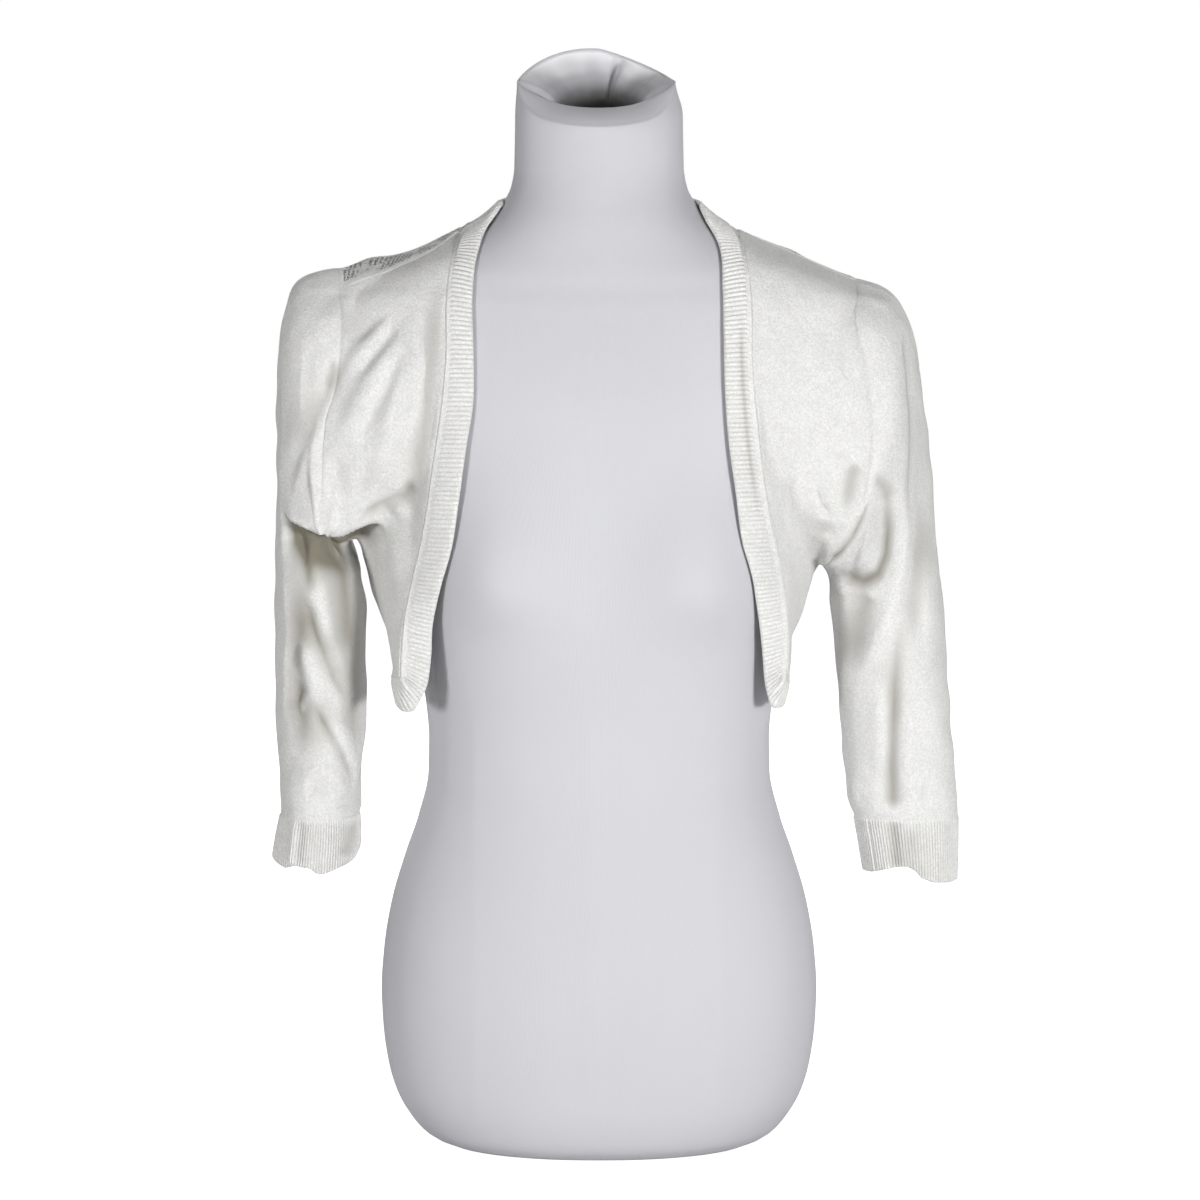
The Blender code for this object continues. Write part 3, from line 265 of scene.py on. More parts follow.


# Lines in the front view for each side: the front panel's first, then the sleeve's.
# A fold's depth and tone set the shade painted into its yarn; the broad folds with a small height and a large
# tone are mostly painted shade.
FRONT_FOLDS: dict[Side, list[Fold]] = {
    Side.RIGHT: [
        Fold([(108.6, 642.9), (114.4, 600.2), (117.3, 566.9), (121.6, 535), (126, 505.1),
              (128.9, 475.1), (129.1, 433.1)], 8, -3.4, fade=(0.25, 0.25)),
        Fold([(145.5, 607.1), (153.9, 598.8), (161.6, 591.9), (175.5, 581.5)
        ], 4.8, -2.1, fade=(0.5, 0.4)),
        Fold([(130.9, 614.7), (139.3, 600.2), (151.2, 580.1), (161.7, 566.9), (179.2, 551)
        ], 5.4, -2.7, fade=(0.5, 0.4)),
        Fold([(136.7, 582.2), (143.7, 562.1), (152.9, 541.2), (162, 523.2), (165, 501.6)
        ], 6.2, -3.0, fade=(0.45, 0.45)),
        Fold([(142.1, 604.3), (156, 588.4), (167.9, 574.5), (178.4, 562.8)], 5, 2.2, fade=(0.3, 0.3)),
        Fold([(138, 593.2), (147.8, 575.2), (156.9, 557.9), (166.1, 541.2), (175.2, 525.3),
              (183.7, 505.1)], 8.5, 3.6, fade=(0.25, 0.3)),
        Fold([(131.1, 578), (138.2, 555.1), (143.9, 535), (149.6, 509.9), (154.6, 489)
        ], 7, 2.8, fade=(0.25, 0.3)),
        Fold([(122.1, 586.3), (127.1, 551.7), (131.5, 516.9)], 6, 1.6),
        Fold([(172.5, 614), (171.3, 593.2), (172.8, 579.4)], 8, -1.2),
        Fold([(158, 509.9), (162.3, 489), (169.4, 471.6)], 6, -1.6),
        Fold([(186, 545), (187, 520), (188, 500)], 7, 2.0),
        Fold([(130.1, 489.2), (138.5, 477.3), (151.8, 470.3), (165.1, 464.7), (173.5, 460.5)
        ], 4.6, -3.8, fade=(0.15, 0.3)),
        Fold([(136, 474), (143, 464)], 6, 2.4),
        Fold([(183, 505), (180, 485), (176, 470)], 5, -1.7),
        Fold([(183, 500), (187, 480), (189, 465), (188, 456)], 4, -1.5, fade=(0.6, 0.1)),
        Fold([(183, 466), (185, 455)], 3.5, 1.4),
        Fold([(168, 456), (160, 457), (153, 453), (150, 446), (149, 434)], 2.2, -1.6),
        Fold([(146, 462), (143, 445), (143, 425), (141, 405)], 6, 2.4),
        Fold([(134, 400), (136, 380)], 5, -1.0),
        Fold([(176, 592), (180, 572), (186, 556), (192, 542), (199, 522), (208, 505), (213, 490),
              (219, 474)], 5.5, -3.2),
        Fold([(182, 560), (190, 541), (197, 522), (205, 506), (210, 490), (215, 474)], 5, 2.6),
        Fold([(204, 556), (206, 530), (212, 508)], 10, -1.0),
        Fold([(185.8, 577.1), (186.6, 564.5), (190.9, 549)], 3.5, -2.4),
        Fold([(205, 602), (207, 575), (208, 545), (208, 518)], 5, 1.5, sharp=0.7),
        Fold([(198, 596), (197, 575), (196, 560)], 7, 1.4),
        Fold([(213, 468), (205, 474), (197, 486), (193, 505)], 11, 1.6),
        Fold([(204, 463), (201, 452)], 3, -1.7, fade=(0.5, 0.05)),
        Fold([(221, 599), (223, 459), (221, 396), (222, 370), (224, 335), (225, 300), (226, 270)
        ], 3.5, 1.4, sharp=0.8),
        Fold([(214, 453), (209, 438), (205, 425)], 4, -4.0, fade=(0.05, 0.5)),
        Fold([(202, 440), (192, 434), (182, 438)], 12, -3.5),
        Fold([(206, 440), (202, 426), (199, 412), (196, 396), (193, 380), (190, 364)], 5.5, 2.8),
        Fold([(211, 408), (204, 396), (201, 384), (198, 374), (193, 362), (188, 350), (184, 338),
              (180, 325)], 5, -3.6, sharp=0.2, fade=(0.3, 0.3)),
        Fold([(178, 440), (177, 400), (175, 350), (174, 300), (175, 264)
        ], 8, -2.6, fade=(0.08, 0.3), tone=1.6),
        Fold([(211.1, 450), (208.4, 435.8), (203.6, 419.5), (200.2, 404.6)
        ], 6, -3.4, fade=(0.1, 0.3), tone=1.3),
        Fold([(209.3, 415.9), (212.4, 387.5), (214.7, 359), (215.7, 330.4), (213.8, 301.7)
        ], 8, -2.2, fade=(0.3, 0.3), tone=1.6),
        Fold([(197, 448), (195, 428), (193, 405), (190, 380), (188, 350)
        ], 22, -0.7, fade=(0.05, 0.3), tone=3.6),
        Fold([(213, 430), (211, 400), (206, 360), (199, 322), (197, 284)
        ], 13, -0.6, fade=(0.2, 0.25), tone=2.9),
        Fold([(204, 596), (204, 545), (207, 500)], 13, -0.5, fade=(0.3, 0.3), tone=3.8),
        Fold([(178, 612), (160, 618), (138, 628), (118, 638)], 13, -0.5, fade=(0.2, 0.2), tone=3.4),
        Fold([(180.5, 614), (179.5, 600), (178.5, 580)], 3.6, -0.5, sharp=0.2, fade=(0.2, 0.5), tone=3.2),
        Fold([(204, 340), (203, 305), (205, 262)], 16, -0.5, fade=(0.3, 0.2), tone=3.2),
        Fold([(213, 378), (208, 364), (204, 350), (201, 338), (199, 322)], 5, 3.0),
        Fold([(216, 372), (217, 350)], 5, -1.8, tone=0.4),
        Fold([(207, 343), (214, 334), (217, 324)], 5, -1.8, fade=(0.4, 0.4), tone=0.5),
        Fold([(204, 336), (211, 328), (213, 318)], 3, 1.6),
        Fold([(214, 350), (213, 326), (212, 302), (212, 284)], 8.5, -2.3, fade=(0.4, 0.4), tone=1.15),
        Fold([(203, 330), (196, 315), (189, 303), (184, 292), (180, 278), (178, 258)
        ], 3.6, -3.0, sharp=0.35, fade=(0.25, 0.3), tone=1.2),
        Fold([(193, 318), (184, 304), (177, 290), (174, 270), (174, 256)], 5, 2.8),
        Fold([(212, 260), (207, 275), (200, 282), (192, 277), (185, 266), (179, 257)], 4.2, 2.4),
        Fold([(200, 268), (196, 254)], 6, -1.3, tone=0.6),
        Fold([(208, 255), (204, 264), (199, 271)], 2.2, -1.5),
        Fold([(190, 251), (176, 250)], 2.2, -1.0),
    ],
    Side.LEFT: [
        Fold([(161, 503), (170, 505), (179, 503)], 4, -1.6),
        Fold([(182.4, 501.6), (176.9, 491.1), (174.2, 474.3), (172.9, 457.4)
        ], 6.5, -2.6, fade=(0.15, 0.5), tone=1.5),
        Fold([(171.4, 627.2), (174.3, 607.6), (176.6, 588.6), (178.8, 572.5)
        ], 8, -1.2, fade=(0.4, 0.6), tone=1.3),
        Fold([(151, 487), (155, 476), (161, 466), (167, 459)], 3, -2.3, sharp=0.4),
        Fold([(158, 477), (165, 468)], 4, 1.7),
        Fold([(160, 460), (158, 446)], 8, -2.4),
        Fold([(141, 497), (134, 482), (131.5, 464)], 3.6, -1.4),
        Fold([(146, 492), (142, 470), (141, 448)], 6, 1.6),
        Fold([(168, 598), (170, 575), (171, 555)], 4.5, -1.0),
        Fold([(110, 575), (112, 545), (118, 500)], 4, -0.9),
        Fold([(150, 535), (148, 505)], 5, -0.8),
        Fold([(125, 545), (128, 500), (124, 450)], 7, 1.0),
        Fold([(137, 430), (134, 395)], 8, 1.2),
        Fold([(214.8, 595.1), (216.5, 564.3), (218.2, 529.1), (218.4, 500.9), (218, 472.7),
              (216.8, 451.4)], 2.4, -1.8, sharp=0.5, fade=(0.1, 0.3), tone=1.6),
        Fold([(172, 620), (150, 632), (120, 648)], 12, -0.5, fade=(0.2, 0.2), tone=2.6),
        Fold([(223, 560), (225, 500), (227, 450)], 6, -1.0),
        Fold([(163, 428), (171, 436), (178, 446), (183, 456), (187, 466), (190, 476)
        ], 3.2, -6.0, sharp=0.2, fade=(0.1, 0.35), tone=1.7),
        Fold([(186.4, 473.2), (188.7, 451.3), (188.8, 435.8), (185.4, 421.6)], 6.0, 6.0, fade=(0.4, 0.1)),
        Fold([(168.6, 426.4), (174.3, 418.6), (185.6, 414.3), (196.2, 420), (203.1, 434.2),
              (205.1, 451.1), (203.5, 470.9), (197.7, 485.7)], 6.2, -5.0, fade=(0.15, 0.4), tone=1.3),
        Fold([(187.7, 488.7), (194.7, 488.7), (203.3, 480.3), (204.7, 469.7)
        ], 5.5, -2.2, fade=(0.3, 0.3), tone=1.5),
        Fold([(211.4, 493.9), (213.9, 458.5), (213.4, 433.7), (210, 412.4), (204.6, 391.1),
              (196.9, 369.7), (187.9, 350.4), (180.2, 336.1)], 6.5, 4.0, sharp=0.35),
        Fold([(171, 421), (176, 401)], 3, 2.2),
        Fold([(188, 408), (184, 388), (179, 366), (178, 340)], 10, -3.8, fade=(0.1, 0.5)),
        Fold([(225, 478), (228, 448), (227, 419), (223, 386.9), (218, 358.4)
        ], 10, -2.2, fade=(0.35, 0.4), tone=1.4),
        Fold([(231, 440), (234, 400), (236, 350)], 6, 1.6),
        Fold([(232, 540), (236, 480), (240, 420), (243, 340), (246, 280)
        ], 13, -0.4, fade=(0.3, 0.3), tone=2.6),
        Fold([(200, 420), (206, 360), (212, 300)], 22, -0.4, fade=(0.3, 0.3), tone=2.6),
        Fold([(200, 346), (201, 310), (202, 270)], 6, 2.0),
        Fold([(213.4, 402.6), (212.2, 372.7), (210.3, 344), (209.1, 315.4), (208.7, 286.6), (210, 247)
        ], 6.5, -4.6, fade=(0.6, 0.06), tone=1.2),
        Fold([(221, 335), (221, 290), (220, 258)], 5, 1.6),
        Fold([(232, 272), (231, 250)], 4, -1.5),
        Fold([(229, 283), (246, 285)], 1.7, -0.8, sharp=0.7, fade=(0.2, 0.2)),
        Fold([(240, 330), (241, 290)], 6, 1.0),
    ],
}
# Lines in the front view of the cuffs; their tones are painted shade too.
CUFF_FOLDS: dict[Side, list[Fold]] = {
    Side.RIGHT: [
        Fold([(215, 246), (217.5, 228), (220, 208)], 2.6, 1.6, sharp=0.4, fade=(0.3, 0.1)),
        Fold([(211, 250), (213, 228), (216, 208)], 3.4, -1.0, fade=(0.3, 0.1), tone=1.5),
        Fold([(175, 242), (179, 228), (184, 214)], 4.5, -1.5, fade=(0.3, 0.1), tone=1.6),
    ],
    Side.LEFT: [
        Fold([(210, 246), (212.5, 224), (214, 203)], 4.5, -2.2, fade=(0.05, 0.2), tone=1.4),
        Fold([(222, 240), (224, 222), (223, 200)], 7, -0.7, fade=(0.3, 0.1), tone=2.2),
        Fold([(232, 212), (232, 196)], 2.6, -1.0),
    ],
}
# Lines in the back view for each side: the back panel's first, then the sleeve's.
BACK_FOLDS: dict[Side, list[Fold]] = {
    Side.RIGHT: [
        Fold([(176, 462), (128, 500), (96, 560)], 12, 4.0),
        Fold([(170, 446), (120, 462), (84, 500)], 11, -3.0),
        Fold([(168, 520), (140, 556), (120, 600)], 9, 2.0),
        Fold([(190, 520), (204, 480), (216, 448)], 9, 3.2),
        Fold([(182, 450), (196, 415), (212, 396)], 8, -3.5),
        Fold([(214, 395), (200, 360), (186, 318)], 9, 3.5, sharp=0.3),
        Fold([(192, 352), (206, 322), (214, 300)], 8, -2.5),
        Fold([(190, 300), (206, 278), (212, 262)], 7, 2.0),
        Fold([(222, 600), (223, 470), (221, 360), (224, 270)], 4, 1.3, sharp=0.7),
    ],
    Side.LEFT: [
        Fold([(168, 452), (126, 492), (92, 548)], 12, 4.0),
        Fold([(160, 434), (118, 455), (80, 498)], 11, -3.0),
        Fold([(166, 512), (138, 552), (118, 596)], 9, 2.2),
        Fold([(190, 508), (206, 472), (222, 440)], 9, 3.4),
        Fold([(184, 442), (204, 412), (226, 398)], 9, -3.6),
        Fold([(232, 400), (214, 362), (198, 326)], 9, 3.2, sharp=0.3),
        Fold([(206, 350), (224, 318), (238, 300)], 8, -2.6),
        Fold([(206, 300), (222, 274), (236, 262)], 7, 1.8),
        Fold([(214, 600), (218, 500), (214, 420)], 4, 1.3, sharp=0.7),
    ],
}
# Lines right across the back, with x itself.
MIDDLE_BACK_FOLDS = [
    Fold([(-60, 430), (-10, 420), (52, 432)], 14, 2.6),
    Fold([(-70, 400), (-8, 388), (60, 398)], 12, -1.8),
    Fold([(-44, 600), (-6, 560), (38, 604)], 16, 1.4),
]


# ---------------------------------------------------------------- curves
def rise(value: Array, start: float, end: float) -> Array:
    """Smooth step, 3t^2 - 2t^3, from 0 at one value to 1 at another."""
    t = np.clip((value - start) / (end - start), 0, 1)
    return t * t * (3 - 2 * t)


def bell(value: Array, width: float) -> Array:
    """Bell exp(-(value / width)^2)."""
    return np.exp(-((value / width) ** 2))


def smooth_value(query: Array, knots: Array, values: Array) -> Array:
    """Cubic through a table that never overshoots it.

    Args:
        query: where to read the curve.
        knots: the table's increasing arguments.
        values: the table's values.

    Returns:
        The curve's values, held at the table's ends.
    """
    query, knots, values = (np.asarray(a, float) for a in (query, knots, values))
    step = np.diff(knots)
    slope = np.diff(values) / step
    before, after = slope[:-1], slope[1:]
    weight_before, weight_after = 2 * step[1:] + step[:-1], step[1:] + 2 * step[:-1]
    turning = before * after <= 0
    safe_before, safe_after = np.where(turning, 1.0, before), np.where(turning, 1.0, after)
    mean = (weight_before + weight_after) / (weight_before / safe_before + weight_after / safe_after)
    tangent = np.concatenate([slope[:1], np.where(turning, 0.0, mean), slope[-1:]])
    i = np.clip(np.searchsorted(knots, query) - 1, 0, len(knots) - 2)
    t = np.clip((query - knots[i]) / step[i], 0, 1)
    return hermite(t, values[i], step[i] * tangent[i], values[i + 1], step[i] * tangent[i + 1])


def hermite(t: Array, start: Array, start_slope: Array, end: Array, end_slope: Array) -> Array:
    """Cubic between two values with given slopes.

    Args:
        t: from 0 at the start to 1 at the end.
        start: value at the start.
        start_slope: slope there, over the whole stretch.
        end: value at the end.
        end_slope: slope there.

    Returns:
        The values at t.
    """
    return (
        (1 + 2 * t) * (1 - t) ** 2 * start
        + t * (1 - t) ** 2 * start_slope
        + t * t * (3 - 2 * t) * end
        + t * t * (t - 1) * end_slope
    )


def dense_curve(keys: Sequence, mirror: Array) -> Array:
    """Smooth curve through keys, with slopes that weigh the two stretches beside each key.

    Args:
        keys: the points it passes.
        mirror: factors for their coordinates.

    Returns:
        Points along it, KEYS_PER_STRETCH steps from one key to the next.
    """
    keys = np.asarray(keys, float) * mirror
    stretch = np.linalg.norm(np.diff(keys, axis=0), axis=1)
    slope = np.diff(keys, axis=0) / stretch[:, None]
    tangent = np.empty_like(keys)
    tangent[1:-1] = (slope[:-1] * stretch[1:, None] + slope[1:] * stretch[:-1, None]) / (
        stretch[:-1] + stretch[1:]
    )[:, None]
    tangent[0], tangent[-1] = slope[0], slope[-1]
    t = (np.arange(KEYS_PER_STRETCH) / KEYS_PER_STRETCH)[:, None]
    parts = [
        hermite(t, keys[i], length * tangent[i], keys[i + 1], length * tangent[i + 1])
        for i, length in enumerate(stretch)
    ]
    return np.vstack(parts + [keys[-1:]])


def along(curve: Array, shares: Array) -> Array:
    """Points of a dense curve at shares of its length."""
    lengths = np.concatenate([[0], np.cumsum(np.linalg.norm(np.diff(curve, axis=0), axis=1))])
    target = np.asarray(shares, float) * lengths[-1]
    return np.stack([np.interp(target, lengths, curve[:, axis]) for axis in range(3)], axis=1)


def even(count: int) -> Array:
    """Equal steps from 0 to 1."""
    return np.arange(count + 1) / count


def length_of(points: Array) -> float:
    """Length of a line of points."""
    return float(np.linalg.norm(np.diff(points, axis=0), axis=1).sum())


def filled(left: Array, right: Array, bottom: Array, top: Array) -> Array:
    """Grid between four edges: the two ruled surfaces' sum less the one between the corners."""
    v = even(len(left) - 1)[:, None, None]
    u = even(len(bottom) - 1)[None, :, None]
    corners = (1 - v) * ((1 - u) * bottom[0] + u * bottom[-1]) + v * ((1 - u) * top[0] + u * top[-1])
    return (1 - v) * bottom[None] + v * top[None] + (1 - u) * left[:, None] + u * right[:, None] - corners


def line_distance(x: Array, z: Array, line: Line) -> tuple[Array, Array]:
    """Distance from a line of several stretches, and how far along it the nearest spot is.

    Args:
        x: across the view.
        z: up the view.
        line: the line's points in the view.

    Returns:
        The distances, and the shares of the line's length.
    """
    nearest, share = np.full(np.shape(x), np.inf), np.zeros(np.shape(x))
    lengths = [math.dist(a, b) for a, b in zip(line[:-1], line[1:])]
    run = 0.0
    for (x0, z0), (x1, z1), length in zip(line[:-1], line[1:], lengths):
        t = np.clip(((x - x0) * (x1 - x0) + (z - z0) * (z1 - z0)) / length**2, 0, 1)
        away = np.hypot(x - x0 - t * (x1 - x0), z - z0 - t * (z1 - z0))
        closer = away < nearest
        nearest = np.where(closer, away, nearest)
        share = np.where(closer, (run + t * length) / sum(lengths), share)
        run += length
    return nearest, share


# ---------------------------------------------------------------- the form as a surface
@dataclass(frozen=True)
class FormSurface:
    """The dress form: level sets to lay cloth on, and rings to build it from.

    A level section is the super-ellipse (|x| / width)^n + (|y| / depth)^n = 1, with one depth in
    front and another behind, and the bust swells forwards from it as two bells.
    """

    torso_power: float = 2.3  # n below the neck
    round_heights: Pair = (670.0, 700.0)  # heights between which n falls to 2
    bust_out: float = 19.0
    bust_height: float = 418.0
    bust_apart: float = 148.0
    bust_spread: float = 42.0
    bust_above: float = 62.0
    bust_below: float = 34.0
    bust_depth: float = 50.0
    neck_base: float = 705.0
    neck_span: float = 20.0  # height of the sections that the slanted neck takes
    rim_height: float = 767.5
    rim_slant: float = 0.455
    rim_rise: float = 24.6
    rim_back: float = 61.0
    rim_dip: float = 3.2
    dip_reach: Pair = (62.0, 20.0)  # its reach, sideways and backwards
    rim_tilt: float = 0.06
    rim_pinch: Pair = (0.02, 0.085)  # how much narrower the rim is, at the right and at the left
    pinch_from: float = 0.62  # share of the neck's height from which it narrows
    probe: float = 0.5
    clear_rounds: int = 5
    lay_rounds: int = 8

    def section(self, z: Array) -> list[Array]:
        """Half width, depth to the front and depth to the back at a height."""
        return [smooth_value(z, FORM_SECTIONS[:, 0], FORM_SECTIONS[:, c]) for c in (1, 2, 3)]

    def power(self, z: Array) -> Array:
        """The super-ellipse's n at a height."""
        return np.interp(z, self.round_heights, [self.torso_power, 2.0])

    def swell(self, x: Array, z: Array) -> Array:
        """How far the bust stands out: a bell round each middle, longer upwards than down."""
        reach = np.where(z > self.bust_height, self.bust_above, self.bust_below)
        across = (np.abs(x) - self.bust_apart / 2) / self.bust_spread
        return self.bust_out * np.exp(-(across**2) - ((z - self.bust_height) / reach) ** 2)

    def level(self, points: Array) -> Array:
        """The super-ellipse's left side to the power 1/n, less 1: 0 on the form, more outside it.

        Args:
            points: places, on the last axis.

        Returns:
            One value for each place.
        """
        x, y, z = np.moveaxis(points, -1, 0)
        width, front, back = self.section(z)
        depth = np.where(y < 0, front, back)
        y = y + self.swell(x, z) * np.clip(-y / self.bust_depth, 0, 1)
        power = self.power(z)
        return ((np.abs(x) / width) ** power + (np.abs(y) / depth) ** power) ** (1 / power) - 1

    def clearance(self, points: Array) -> tuple[Array, Array]:
        """Distance off the form, as the level over its slope, and the direction away from it.

        Args:
            points: places, on the last axis.

        Returns:
            The distances, and the unit directions.
        """
        slope = np.stack(
            [
                (self.level(points + a) - self.level(points - a)) / (2 * self.probe)
                for a in np.eye(3) * self.probe
            ],
            axis=-1,
        )
        steepness = np.linalg.norm(slope, axis=-1)
        return self.level(points) / steepness, slope / steepness[..., None]

    def keep_clear(self, points: Array, least: float = SEAT) -> Array:
        """Move what is nearer than the least distance out to it."""
        for _ in range(self.clear_rounds):
            distance, away = self.clearance(points)
            points = points + away * np.maximum(0, least - distance)[..., None]
        return points

    def lay_on(self, points: Array, wanted: Array | float) -> Array:
        """Move points in or out to a distance off the form."""
        for _ in range(self.lay_rounds):
            distance, away = self.clearance(points)
            points = points + away * (np.asarray(wanted) - distance)[..., None]
        return points

    def seat_edge(self, points: Array, seat: float = SEAT) -> Array:
        """Lay a line on the form round the neck, and only keep it clear lower down.

        Args:
            points: the line.
            seat: its distance off the form.

        Returns:
            The moved line.
        """
        distance, _ = self.clearance(points)
        low, high = FREE_FROM_NECK
        share = np.clip((points[..., 2] - low) / (high - low), 0, 1)
        wanted = np.where(distance > seat, seat * share + distance * (1 - share), seat)
        return self.lay_on(points, wanted)

    def ring(self, z: float, turn: Array) -> Array:
        """Level ring: the powers 2/n of cosine and sine trace the super-ellipse.

        Args:
            z: its height.
            turn: angles, from the left by the back.

        Returns:
            One point for each angle.
        """
        width, front, back = (float(v) for v in self.section(z))
        power = 2 / float(self.power(z))
        c, s = np.cos(turn), np.sin(turn)
        x = width * np.sign(c) * np.abs(c) ** power
        depth = np.where(s < 0, front, back) * np.abs(s) ** power
        swell = self.swell(x, np.full_like(x, z))
        full = depth + swell
        forward = np.where(full > self.bust_depth, full, depth / (1 - swell / self.bust_depth))
        return np.stack([x, np.where(s < 0, -forward, depth), np.full_like(x, z)], axis=1)

    def neck_ring(self, share: float, inset: Array | float, sink: Array, turn: Array) -> Array:
        """Ring that slants up to the rim: the rim falls forwards and rises to the back.

        Args:
            share: how far up the neck, from 0 at its base to 1 at the rim.
            inset: how far inside the neck's wall.
            sink: how far below the rim's plane.
            turn: angles, from the left by the back.

        Returns:
            One point for each angle.
        """
        ring = self.ring(self.neck_base + share * self.neck_span, turn)
        length = np.linalg.norm(ring[:, :2], axis=1, keepdims=True)
        ring[:, :2] *= (length - inset) / length
        pinch = np.where(ring[:, 0] > 0, self.rim_pinch[1], self.rim_pinch[0])
        ring[:, 0] *= 1 - pinch * rise(share, self.pinch_from, 1.0)
        x, y = ring[:, 0], ring[:, 1]
        behind = np.clip(y / self.rim_back, 0, 1.1) ** 1.5
        aside, backwards = (np.clip(v / reach, 0, 1) for v, reach in zip((x, y), self.dip_reach))
        lopsided = self.rim_dip * np.sin(math.pi * aside) * backwards + self.rim_tilt * x * behind
        slant = np.where(y < 0, self.rim_slant * y, self.rim_rise * behind)
        rim = self.rim_height + slant - lopsided - sink
        ring[:, 2] = self.neck_base + share * (rim - self.neck_base)
        return ring


FORM = FormSurface()


# ---------------------------------------------------------------- seams
def matched(seam: Array, edge: Array) -> tuple[Array, Array]:
    """The seam and the free edge of a front band, point by point where a rib joins them.

    Args:
        seam: dense curve of the seam, from the shoulder down.
        edge: dense curve of the free edge, from the shoulder down.

    Returns:
        The two curves in equally many points.
    """
    edge = along(edge, even(CURVE_STEPS))
    rib = np.array(RIB_LEVELS)
    height = edge[:, 2] + np.interp(-edge[:, 2], -rib[:, 0], rib[:, 1])
    height[0], height[-1] = seam[0, 2], seam[-1, 2]
    height = np.minimum.accumulate(np.clip(height, seam[-1, 2], seam[0, 2]))
    seam = np.stack([np.interp(-height, -seam[:, 2], seam[:, axis]) for axis in range(3)], axis=1)
    return seam, edge


@dataclass
class Strip:
    """The two long edges of a ribbed strip, joined point by point in each stretch."""

    stretches: list[tuple[Array, Array]]

    def edges(self, columns: Sequence[int]) -> tuple[Array, Array]:
        """The seam and the free edge in equally many points.

        Args:
            columns: how many each stretch gets.

        Returns:
            The two lines, from end to end.
        """
        seam, edge = [], []
        for i, (pair, count) in enumerate(zip(self.stretches, columns)):
            shares = even(count)[(1 if i else 0):]
            for curve, found in zip(pair, (seam, edge)):
                step, steps = shares * (len(curve) - 1), np.arange(len(curve))
                found.append(np.stack([np.interp(step, steps, axis) for axis in curve.T], axis=1))
        return np.vstack(seam), np.vstack(edge)

    def lengths(self) -> list[float]:
        """Length of each stretch, along its middle."""
        return [(length_of(low) + length_of(high)) / 2 for low, high in self.stretches]


class SideSeams:
    """Every seam of one half of the garment, from one end to the other."""

    def __init__(self, side: Side) -> None:
        """Lay the seams on the form and join their ends.

        Args:
            side: the half.
        """
        self.side = side
        split = SHOULDER_KEY * KEYS_PER_STRETCH
        seam, edge = self.curve(BAND_SEAM), self.curve(FREE_EDGE)
        neck_seam = FORM.seat_edge(seam[: split + 1], (SEAT + BACK_SEAT) / 2)
        front_seam = FORM.seat_edge(seam[split:])
        neck_edge, front_edge = FORM.seat_edge(edge[: split + 1], NECK_SEAT), FORM.seat_edge(edge[split:])
        front_seam[0], front_edge[0] = neck_seam[-1], neck_edge[-1]
        hem_seam, hem_edge, back_seam, back_edge = (
            FORM.keep_clear(self.curve(table))
            for table in (HEM_SEAM_FRONT, HEM_EDGE_FRONT, HEM_SEAM_BACK, HEM_EDGE_BACK)
        )
        hem_seam[0], hem_edge[0] = front_seam[-1], front_edge[-1]
        neck, hem, back = (
            tuple(along(curve, even(CURVE_STEPS)) for curve in pair)
            for pair in ((neck_seam, neck_edge), (hem_seam, hem_edge), (back_seam, back_edge))
        )
        self.band = Strip([neck, matched(front_seam, front_edge), hem])
        self.hem = Strip([back])
        knots = np.arange(len(SIDE_SHARES))
        self.neck_seam = along(neck_seam, even(NECK_COLUMNS))
        self.front_seam = along(front_seam, even(SIDE_ROWS + ARM_ROWS))[::-1].copy()
        self.shoulder = self.cut(SHOULDER_SEAM, even(FRONT_COLUMNS))
        self.armhole_front = self.cut(ARMHOLE_FRONT, even(ARM_ROWS))
        self.armhole_back = self.cut(ARMHOLE_BACK, even(ARM_ROWS))
        self.side_seam = self.cut(SIDE_SEAM, smooth_value(even(SIDE_ROWS) * knots[-1], knots, SIDE_SHARES))
        self.hem_front = along(hem_seam, even(FRONT_COLUMNS))
        self.hem_back = self.cut(HEM_SEAM_BACK, even(FRONT_COLUMNS + NECK_COLUMNS))
        self.shoulder[0] = self.front_seam[-1] = self.neck_seam[-1]
        self.shoulder[-1] = self.armhole_back[-1] = self.armhole_front[-1]
        self.armhole_back[0] = self.side_seam[-1] = self.armhole_front[0]
        self.hem_front[0] = self.front_seam[0]
        self.hem_front[-1] = self.hem_back[0] = self.side_seam[0]

    def curve(self, table: dict[Side, list]) -> Array:
        """The dense curve of a table on this side."""
        return dense_curve(table[self.side], self.side.mirror)

    def cut(self, table: dict[Side, list], shares: Array) -> Array:
        """Points of a seam at shares of its length, clear of the form."""
        return FORM.keep_clear(along(self.curve(table), shares))

    def armhole(self) -> Array:
        """Closed ring: underarm, up the front, the tip, down the back."""
        return np.vstack([self.armhole_front, self.armhole_back[-2:0:-1]])


# ---------------------------------------------------------------- the shapes between the seams
def with_edges_of(grid: Array, original: Array) -> Array:
    """A grid with another one's edges."""
    grid = grid.copy()
    for place in (np.s_[0, :], np.s_[-1, :], np.s_[:, 0], np.s_[:, -1]):
        grid[place] = original[place]
    return grid


